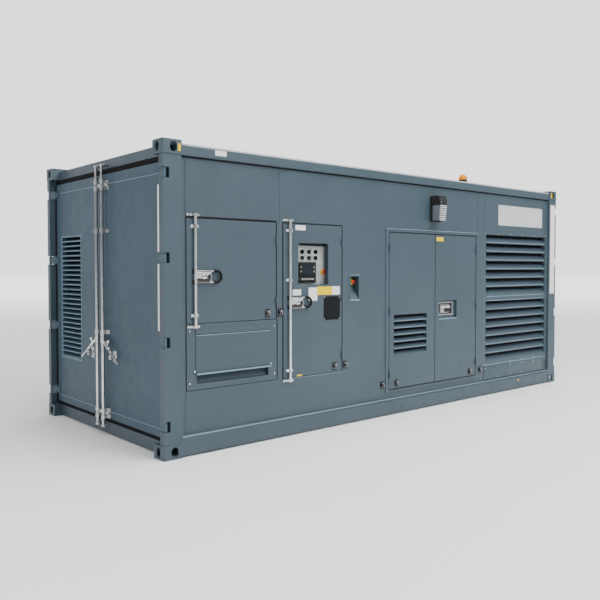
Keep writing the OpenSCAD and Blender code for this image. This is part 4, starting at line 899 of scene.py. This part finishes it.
def blade_lips():
    """Pale beads as painted highlight along the outer lips of the louvre blades, round the end louvre's frame, and
    along the service frame's edges.
    """
    wall_rise, wall_inset, leaf_rise, leaf_inset = 0.016, 0.055, 0.012, 0.024
    drop, middle_r, ring_r, frame_r = 0.003, 0.0035, 0.0025, 0.0012
    for node, body, face, rise, inset in (
            ("front_louvre", "container", FRONT_WALL, wall_rise, wall_inset),
            ("rear_louvre", "container", REAR_WALL, wall_rise, wall_inset),
            ("service_louvre", "service_left_leaf", SERVICE_LEAF, leaf_rise, leaf_inset)):
        low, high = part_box(node)
        left, right = low.x + inset, high.x - inset
        lips = Mesh()
        for z in lip_levels(node, 1, face, rise):
            lips.rail(left, right, face, z - drop)
        if body == "container":
            # Two pale bars across the middle rail, as painted highlight
            middle = (low.z + high.z) / 2
            for z in (middle - 0.024, middle + 0.026):
                lips.rail(left, right, face, z, middle_r)
        lips.piece("lips_" + node, "enclosure_paint", body, HIGHLIGHT_PAINT)
    low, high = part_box("end_left_louvre")
    lips = Mesh()
    for z in lip_levels("end_left_louvre", 0, LEAF_FACE, leaf_rise):
        lips.tube([(LEAF_FACE, y, z - drop) for y in (low.y + leaf_inset, high.y - leaf_inset)], EDGE_R)
    turns = ((low.y, low.z), (high.y, low.z), (high.y, high.z), (low.y, high.z))
    ring = [(LEAF_FACE, y, z) for y, z in turns]
    for start, end in zip(ring, ring[1:] + ring[:1]):
        lips.tube([start, end], ring_r)
    lips.piece("lips_end_louvre", "end_door_paint", "end_left_leaf", HIGHLIGHT_PAINT)
    # Pale bars along the service frame's edges, as painted highlight
    low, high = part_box("service_frame")
    edges = Mesh()
    edges.rail(low.x, high.x, low.y, high.z)
    edges.tube([(low.x, low.y, low.z), (low.x, low.y, high.z)], frame_r)
    edges.piece("service_frame_edges", "enclosure_paint", material=HIGHLIGHT_PAINT)


def louvre_screens():
    """Dark insect screens behind the blades."""
    inset, half = 0.004, SCREEN_T / 2
    for side, front in (("front", WALL_INSIDE), ("rear", -WALL_INSIDE - SCREEN_T)):
        low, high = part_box(side + "_louvre")
        mesh = Mesh().slab((low.x, front, low.z), (high.x, front + SCREEN_T, high.z))
        mesh.piece(side + "_louvre_screen", "black_plastic", material=SCREEN)
    low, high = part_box("service_louvre")
    mesh = Mesh()
    mesh.slab((low.x + inset, high.y - half, low.z + inset),
              (high.x - inset, high.y + half, high.z - inset))
    mesh.piece("service_louvre_screen", "black_plastic", "service_left_leaf", SCREEN)
    low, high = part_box("end_left_louvre")
    mesh = Mesh()
    mesh.slab((high.x - half, low.y + inset, low.z + inset),
              (high.x + half, high.y - inset, high.z - inset))
    mesh.piece("end_louvre_screen", "black_plastic", "end_left_leaf", SCREEN)


# Turned shapes, as (radius, height) from the seat
KEY = ((0.0085, 0.0), (0.0085, 0.003), (0.007, 0.0045))
SMALL_KEY = ((0.006, 0.0), (0.006, 0.002), (0.005, 0.003))
LATCH_BARREL = ((0.016, 0.0), (0.016, 0.002), (0.012, 0.004))
LOCK_BARREL = ((0.020, 0.0), (0.020, 0.004), (0.016, 0.006), (0.010, 0.0062))
ROD_CLAMP = ((0.019, 0.0), (0.0225, 0.002), (0.0225, 0.010), (0.019, 0.012))
HANDLE_FORK = ((0.012, 0.0), (0.0155, 0.006), (0.0155, 0.120), (0.011, 0.150))
HANDLE_COLLAR = ((0.011, 0.0), (0.0145, 0.004), (0.0145, 0.022), (0.011, 0.026))
BALL_STUD = ((0.006, 0.0), (0.006, 0.022), (0.012, 0.026), (0.0155, 0.034), (0.0155, 0.042),
             (0.011, 0.051), (0.004, 0.054))

# The same, with the radius as a share of the solid's
KNOB = ((1.25, 0.0), (1.25, 0.004), (0.75, 0.008))

# The same, with both as shares of the solid's
STOP_COLLAR = ((1.0, 0.0), (1.0, 0.70), (0.93, 0.84), (0.78, 0.90), (0.76, 1.0))
STOP_HEAD = ((0.66, 0.25), (0.97, 0.38), (1.0, 0.55), (0.95, 0.78), (0.75, 0.94), (0.4, 1.0), (0.1, 1.0))


def control_panel():
    """Screen, keys and knobs on the controller and switches that show through the window."""
    rim, bezel_corner, screen_t, screen_corner = 0.006, 0.010, 0.0015, 0.004
    boxes = solids("control_switchgear")
    controller = max(boxes, key=lambda pair: pair[1].x - pair[0].x)
    low, high = controller
    wide, tall, face = high.x - low.x, high.z - low.z, low.y - rim
    bezel = Mesh().plate(low.y, low.x - rim, high.x + rim, low.z - rim, high.z + rim, rim, bezel_corner)
    bezel.piece("controller_bezel", "black_plastic")
    screen = Mesh()
    screen.plate(face, low.x + 0.20 * wide, high.x - 0.20 * wide,
                 low.z + 0.42 * tall, high.z - 0.10 * tall, screen_t, screen_corner)
    screen.piece("controller_screen", "black_plastic", material=SCREEN_GLASS)
    keys = Mesh()
    for step in range(5):
        keys.lathe((low.x + wide * (0.18 + 0.16 * step), face, low.z + 0.16 * tall), FRONT, KEY, 18)
    for x in (low.x + 0.09 * wide, high.x - 0.09 * wide):
        for z in (low.z + 0.55 * tall, low.z + 0.78 * tall):
            keys.lathe((x, face, z), FRONT, SMALL_KEY, 16)
    keys.piece("controller_keys", "cabinet_paint", material=LABELS["white"])

    side, under, over, plate_t, plate_corner = 0.010, 0.006, 0.018, 0.0015, 0.003
    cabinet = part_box("control_cabinet")[0].y
    knobs, plates = Mesh(), Mesh()
    for pair in boxes:
        if pair is controller:
            continue
        low, high = pair
        x, z = (low.x + high.x) / 2, (low.z + high.z) / 2
        half = (high.x - low.x) / 2
        plates.plate(cabinet, x - half - side, x + half + side, z - half - under, z + half + over,
                     plate_t, plate_corner)
        knobs.lathe((x, low.y, z), FRONT, [(half * radius, height) for radius, height in KNOB], 22)
        grip = half * 1.15
        knobs.slab((x - 0.006, low.y - 0.020, z - grip), (x + 0.006, low.y - 0.004, z + grip), 0.002)
    knobs.piece("switch_knobs", "black_plastic")
    plates.piece("switch_plates", "cabinet_paint", material=LABELS["white"])

    reach, deep, screw_x, screw_z = 0.02, 0.022, 0.012, 0.014
    low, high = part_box("control_window")
    # A duct along the window's head, black as painted shadow along the window's top edge
    duct = Mesh()
    duct.slab((low.x - reach, cabinet - deep, high.z - deep),
              (high.x + reach, cabinet, high.z + reach), 0.003)
    duct.piece("cabinet_duct", "black_plastic")
    screws = Mesh()
    for x, z in corners(low.x + screw_x, high.x - screw_x, low.z + screw_z, (low.z + high.z) / 2):
        screws.screw((x, cabinet, z), FRONT)
    screws.piece("cabinet_screws", "galvanised_steel")


def stops():
    """Mushroom heads and collars in place of the plain emergency stops; the niche's stands further out."""
    head_depth, sunk = 1.3, -0.002
    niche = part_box("stop_niche")[0].x
    collars, heads = Mesh(), Mesh()
    for low, high in solids("stop_bases"):
        middle, half = (low + high) / 2, (high.x - low.x) / 2
        deep = high.y - low.y + (NICHE_REACH if low.x > niche else 0.0)
        profile = [(half * radius, deep * height) for radius, height in STOP_COLLAR]
        collars.lathe((middle.x, high.y, middle.z), FRONT, profile, 36)
    for low, high in solids("stop_heads"):
        middle, half = (low + high) / 2, (high.x - low.x) / 2
        deep = (high.y - low.y) * head_depth
        seat = high.y - (NICHE_REACH if low.x > niche else 0.0)
        profile = [(half * 0.62, sunk)] + [(half * radius, deep * height) for radius, height in STOP_HEAD]
        heads.lathe((middle.x, seat, middle.z), FRONT, profile, 36)
    made = collars.piece("stop_collars", "yellow_plastic")
    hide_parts("stop_bases")
    made = heads.piece("stop_buttons", "red_plastic")
    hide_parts("stop_heads")


def grips():
    """Rubber sleeves on the loops of the side handles, and the lock, a dark zinc fold over the lower half as
    painted shade, and the fork of each plate.
    """
    rod_r, rod_out, half, sleeve_from, sleeve_end, tail = 0.013, 0.021, 0.047, 0.190, 0.005, 0.012
    plate_t, plate_from, plate_to, block_z = 0.005, 0.014, 0.140, 0.018
    y = FRONT_WALL - rod_out
    face = y - plate_t
    for node, body, leaf in (("cable_rod_gear", "cable_lock", "cable_leaf"),
                             ("control_rod_gear", "control_lock", "control_leaf")):
        low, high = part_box(node)
        rod, level = low.x + rod_r, GRIP_LEVELS[node]
        start, bend = rod + sleeve_from, high.x - sleeve_end - half
        points = [(start - tail, y, level + half), (start, y, level + half)]
        for step in range(17):
            angle = math.pi * step / 16
            points.append((bend + half * math.sin(angle), y, level + half * math.cos(angle)))
        points += [(start, y, level - half), (start - tail, y, level - half)]
        Mesh().tube(points, SLEEVE_R, 14).piece("sleeve_" + node, "black_rubber", body)
        left, right = rod + plate_from, rod + plate_to
        lock = Mesh()
        lock.lathe((rod + 0.082, face, level), FRONT, LOCK_BARREL, 28)
        lock.slab((left, face - 0.005, level + 0.030), (right, face + 0.001, level + 0.050), 0.003)
        lock.bolt((rod + 0.040, face, level), FRONT)
        lock.piece("lock_" + node, "galvanised_steel", body, PLATED)
        # A dark zinc fold on the plate's lower half, as painted shade
        fold = Mesh()
        fold.slab((left, face - 0.004, level - 0.050), (right, face + 0.001, level - 0.014), 0.003)
        fold.piece("fold_" + node, "galvanised_steel", body, SHADE_ZINC_FINISH)
        block = Mesh()
        for z in (level + 0.044, level - 0.044):
            block.slab((rod - 0.022, FRONT_WALL - 0.003, z - block_z),
                       (rod + 0.010, FRONT_WALL, z + block_z))
        block.piece("block_" + node, "black_plastic", leaf)
        fork = Mesh()
        notch = ((0.104, 0.0), (0.146, 0.024), (0.146, -0.024))
        fork.outline([(rod + x, face, level + z) for x, z in notch], (0.0, -0.0015, 0.0))
        fork.piece("fork_" + node, "black_rubber", body)


def handle_gear():
    """The clamp, fork, collar and ball stud that join each end handle to its rod."""
    rod_x, rod_y, hub_z, drop = -3.002, 0.060, 0.900, math.radians(32.0)
    for name, body, side, turned in (("end_right_gear", "end_right_lock", -1.0, 1.0),
                                     ("end_left_gear", "end_left_lock", 1.0, 1.0),
                                     ("far_right_gear", "container", -1.0, -1.0),
                                     ("far_left_gear", "container", 1.0, -1.0)):
        along = Vector((0.0, side * math.cos(drop), -math.sin(drop)))
        across = Vector((0.0, side * math.sin(drop), math.cos(drop)))
        out = Vector((-turned, 0.0, 0.0))
        start = Vector((turned * (rod_x - 0.004), side * rod_y, hub_z))
        gear = Mesh()
        for z in (hub_z + 0.024, hub_z - 0.036):
            gear.lathe((turned * rod_x, side * rod_y, z), UP, ROD_CLAMP, 24)
        gear.lathe(start + along * 0.020, along, HANDLE_FORK, 12)
        gear.lathe(start + along * 0.185, along, HANDLE_COLLAR, 20)
        gear.lathe(start + along * 0.110 + across * 0.012, across, BALL_STUD, 20)
        gear.bolt(start + along * 0.045 + out * 0.0145, out)
        gear.bolt(start + along * 0.150 + out * 0.0100, out)
        gear.piece(name, "galvanised_steel", body, PLATED)


def door_edges():
    """Black rubber edging in the gaps round the side doors, clear of their hinges, as painted shade in the gaps;
    and black strips on the wall and the service frame as painted shadow along the door gaps and in a dashed line
    under the frame's foot.
    """
    width, front_in, back_in = 0.004, 0.004, 0.024
    for node, body in (("cable_door", "cable_leaf"), ("control_door", "control_leaf"),
                       ("service_left", "service_left_leaf"), ("service_right", "service_right_leaf")):
        low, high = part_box(node)
        front, back = low.y + front_in, low.y + back_in
        # Black edging set back in each gap: painted shade
        edging = Mesh()
        for z in (low.z - width, high.z):
            edging.strip(low.x, high.x, z, z + width, front, back)
        if node == "service_left":
            edging.strip(high.x, high.x + width, low.z, high.z, front, back)
            edging.strip(high.x - width, high.x, low.z, high.z, low.y - 0.001, low.y + 0.002)
        elif node != "service_right":
            edging.strip(low.x - width, low.x, low.z, high.z, front, back)
        edging.piece("edging_" + node, "black_rubber", body)

    # Black strips on the wall round the cable and control doors, as painted shadow along their gaps
    gap, hinge_w, level_w, sunk = 0.005, 0.006, 0.005, 0.001
    trim = Mesh()
    for node, top_w, left_w in (("cable_door", 0.013, 0.008), ("control_door", 0.006, 0.009)):
        low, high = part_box(node)
        left, right, head = low.x - gap, high.x + gap, high.z + gap
        trim.strip(right, right + hinge_w, low.z, high.z, FRONT_WALL - sunk, WALL_STRIP[1])
        trim.strip(left, right, head, head + top_w, *WALL_STRIP)
        trim.strip(left - left_w, left, low.z - gap, head, *WALL_STRIP)
    frame_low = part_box("service_frame")[0]
    frame_strip = (frame_low.y - sunk, frame_low.y + STRIP_PROUD)
    low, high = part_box("service_left")[0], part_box("service_right")[1]
    for z in (low.z - gap - level_w, high.z + gap):
        trim.strip(low.x, high.x, z, z + level_w, *frame_strip)
    for x in (low.x - gap - width, high.x + gap):
        trim.strip(x, x + width, low.z, high.z, *frame_strip)
    # A dashed black line under the service frame's foot, as painted shadow
    foot, dash, pitch = frame_low.z + 0.012, 0.030, 0.055
    for x in spread(low.x, high.x - dash, pitch):
        trim.strip(x, x + dash, foot, foot + width, *frame_strip)
    trim.piece("door_weatherstrips", "black_rubber")


def tray_lip():
    """The folded sill of the latch's tray in pale paint as painted highlight, the paddle and barrel of its latch,
    a black plate inside its rim as painted shade, and a black plate on its lower half as a painted dark
    reflection.
    """
    leaf = "service_right_leaf"
    inset, well_in, well_t, screw_in, flange_t = 0.003, 0.014, 0.003, 0.006, 0.006
    low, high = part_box("handle_tray")
    # Pale paint on the sill, as painted highlight
    sill = Mesh()
    sill.slab((low.x + inset, low.y - 0.001, low.z + inset),
              (high.x - inset, high.y - 0.004, low.z + 0.014), 0.003)
    sill.piece("tray_sill", "enclosure_paint", leaf, HIGHLIGHT_PAINT)
    low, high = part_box("tray_latch")
    middle = (low.z + high.z) / 2
    # A black plate inside the latch's rim, as painted shade
    well = Mesh()
    well.plate(high.y - well_t, low.x + well_in, high.x - well_in, low.z + well_in, high.z - well_in)
    well.piece("latch_well", "black_plastic", leaf)
    # A black plate on the latch's lower half, as painted dark reflection
    dark_reflection = Mesh()
    dark_reflection.plate(low.y, low.x + 0.085, high.x - 0.052, middle - 0.040, middle + 0.004, 0.0015, 0.016)
    dark_reflection.piece("latch_hollow", "black_plastic", leaf)
    paddle = Mesh()
    paddle.slab((low.x + 0.040, low.y - 0.002, middle + 0.010),
                (high.x - 0.080, low.y + 0.004, middle + 0.042), 0.002)
    paddle.lathe((low.x + 0.060, low.y, middle - 0.012), FRONT, LATCH_BARREL, 24)
    for x, z in corners(low.x + screw_in, high.x - screw_in, low.z + screw_in, high.z - screw_in):
        paddle.screw((x, high.y - flange_t, z), FRONT, *SMALL_SCREW)
    paddle.piece("latch_paddle", "galvanised_steel", leaf, PLATED)


def niche_trim():
    """Folded edges round the emergency stop's niche, in pale paint as painted highlight."""
    inset, sill_in = 0.004, 0.012
    low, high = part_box("stop_niche")
    edge = Mesh()
    for z in (low.z + inset, high.z - inset):
        edge.rail(low.x + inset, high.x - inset, low.y, z, sides=10)
    edge.slab((low.x + sill_in, low.y - 0.002, low.z + 0.006),
              (high.x - sill_in, low.y + 0.004, low.z + 0.014), 0.002)
    edge.piece("niche_edges", "enclosure_paint", material=HIGHLIGHT_PAINT)


def lamp_and_beacon():
    """Prismatic ribs and ribbed cheeks on the light's lens, and rings and a collar on the beacon."""
    ribs_up, slope, inset, rib_r = 9, 0.020, 0.004, 0.0045
    low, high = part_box("light_lens")
    house_low, house_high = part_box("light_housing")
    ribs = Mesh()
    for step in range(ribs_up):
        share = (step + 0.5) / ribs_up
        z = low.z + (high.z - low.z) * share
        ribs.rail(low.x + inset, high.x - inset, low.y + (1.0 - share) * slope, z, rib_r)
    ribs.piece("lens_ribs", "clear_pane", material=FROSTED)

    thick, ribs_across, pitch, cheek_r = 0.003, 7, 0.014, 0.0025
    cheeks = Mesh()
    for x, outer in ((house_low.x - thick, house_low.x - thick), (house_high.x, house_high.x + thick)):
        cheeks.slab((x, low.y + inset, low.z + inset), (x + thick, low.y + 0.100, high.z - 0.006))
        for step in range(ribs_across):
            y = low.y + 0.012 + pitch * step
            cheeks.tube([(outer, y, low.z + 0.008), (outer, y, high.z - 0.010)], cheek_r, 6)
    cheeks.piece("lens_cheeks", "clear_pane", material=LENS_SIDE)
    screws = Mesh()
    for x in (house_low.x + 0.012, house_high.x - 0.012):
        screws.screw((x, house_low.y, high.z + 0.020), FRONT)
    screws.piece("light_screws", "galvanised_steel")

    ring_count, ring_from, ring_pitch, ring_r, proud, turns = 5, 0.006, 0.007, 0.0022, 0.0005, 40
    low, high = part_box("beacon_dome")
    x, y, radius = (low.x + high.x) / 2, (low.y + high.y) / 2, (high.x - low.x) / 2
    rings = Mesh()
    for step in range(ring_count):
        z = low.z + ring_from + ring_pitch * step
        angles = [2 * math.pi * turn / turns for turn in range(turns)]
        points = [(x + (radius + proud) * math.cos(angle), y + (radius + proud) * math.sin(angle), z)
                  for angle in angles]
        rings.tube(points, ring_r, 6, closed=True)
    rings.piece("beacon_rings", "amber_lens")
    collar = Mesh()
    wide = radius + 0.0045
    collar.lathe((x, y, low.z), UP, ((wide, 0.0), (wide, 0.010), (radius + 0.001, 0.014)), turns)
    collar.piece("beacon_collar", "black_plastic")


def roof_trim():
    """Transverse roof seams, from side to side."""
    inset, steps, seam_r = 0.02, 60, 0.005
    low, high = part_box("roof_sheet")
    reach = high.y - low.y - 2 * inset
    mesh = Mesh()
    for share in (0.2, 0.4, 0.6, 0.8):
        x = low.x + (high.x - low.x) * share
        points = [(x, low.y + inset + reach * step / steps, high.z) for step in range(steps + 1)]
        mesh.tube(points, seam_r, 6, ripple=BEAD_RIPPLE)
    mesh.piece("roof_seams", "roof_paint")


def faded(nodes, heading):
    """The surround's strength along a heading: dim before the object, bright behind it."""
    towards = nodes.add("ShaderNodeVectorMath", operation="DOT_PRODUCT")
    towards.inputs[1].default_value = WORLD_BACK
    nodes.join(heading, towards.inputs[0])
    return nodes.ranged(towards.outputs["Value"], *WORLD_FADE, WORLD_DIM, WORLD_BRIGHT, curve="SMOOTHSTEP")


def horizon_glow(shader):
    """Brings the far floor up to the surround, so that no horizon shows behind the object."""
    heading = shader.add("ShaderNodeVectorMath", operation="NORMALIZE")
    shader.join(shader.place, heading.inputs[0])
    reach = shader.add("ShaderNodeVectorMath", operation="LENGTH")
    shader.join(shader.place, reach.inputs[0])
    far = shader.ranged(reach.outputs["Value"], *GLOW_SPAN, 0.0, GLOW_SHARE)
    return shader.times(faded(shader, heading.outputs[0]), far)


def stage():
    """Pale floor, three soft lamps, and a surround that is bright behind the object and dim before it."""
    mesh = bpy.data.meshes.new("floor")
    places = [(x * FLOOR_REACH, y * FLOOR_REACH, 0.0) for x, y in ((-1, -1), (1, -1), (1, 1), (-1, 1))]
    mesh.from_pydata(places, [], [(0, 1, 2, 3)])
    floor = bpy.data.objects.new("stage_floor", mesh)
    bpy.context.scene.collection.objects.link(floor)
    shader = Shader("stage_floor")
    tone = shader.noise(0.4, 3.0)
    base = shader.mixed(tone, *FLOOR_TONES)
    shader.join(horizon_glow(shader), shader.surface.inputs["Emission Strength"])
    mesh.materials.append(shader.finish(base, shader.ranged(tone, 0.0, 1.0, 0.75, 0.9),
                                        Emission_Color=(1.0, 1.0, 1.0, 1.0)))

    world = bpy.data.worlds.new("studio")
    world.use_nodes = True
    nodes = Nodes(world.node_tree)
    background = nodes.tree.nodes["Background"]
    background.inputs["Color"].default_value = (1.0, 1.0, 1.0, 1.0)
    heading = nodes.add("ShaderNodeTexCoord").outputs["Generated"]
    nodes.join(faded(nodes, heading), background.inputs["Strength"])
    bpy.context.scene.world = world

    for name, lamp in LAMPS.items():
        light = bpy.data.lights.new(name, "AREA")
        light.size = lamp["size"]
        light.energy = lamp["power"]
        holder = bpy.data.objects.new(name, light)
        holder.location = lamp["place"]
        aim = Vector(LAMP_AIM) - Vector(lamp["place"])
        holder.rotation_euler = aim.to_track_quat("-Z", "Y").to_euler()
        bpy.context.scene.collection.objects.link(holder)


def camera():
    """A camera where the photograph was taken."""
    lens = bpy.data.cameras.new("photo_camera")
    lens.lens = CAMERA_LENS
    lens.sensor_width = CAMERA_SENSOR
    lens.shift_x, lens.shift_y = CAMERA_SHIFT
    holder = bpy.data.objects.new("photo_camera", lens)
    holder.location = CAMERA_PLACE
    holder.rotation_euler = (math.pi / 2 + CAMERA_PITCH, 0.0, CAMERA_YAW - math.pi / 2)
    bpy.context.scene.collection.objects.link(holder)
    bpy.context.scene.camera = holder


camera()
stage()
dress_nodes()
mixed_fittings()
louvre_bolts()
louvre_covers()
rail_edges()
outlet_bolts()
cable_slot()
end_fitting_bolts("end_right_fittings", "end_right_bolts", "end_right_leaf", LEAF_FACE, NEAR)
end_fitting_bolts("end_left_fittings", "end_left_bolts", "end_left_leaf", LEAF_FACE, NEAR)
end_fitting_bolts("far_fittings", "far_bolts", "container", -LEAF_FACE, FAR)
side_fitting_bolts("cable_fittings", "cable_bolts", "cable_leaf")
side_fitting_bolts("control_fittings", "control_bolts", "control_leaf")
keeper_bolts()
clip_hooks()
labels()
sign()
seams()
blade_lips()
louvre_screens()
control_panel()
stops()
grips()
handle_gear()
door_edges()
tray_lip()
niche_trim()
lamp_and_beacon()
roof_trim()
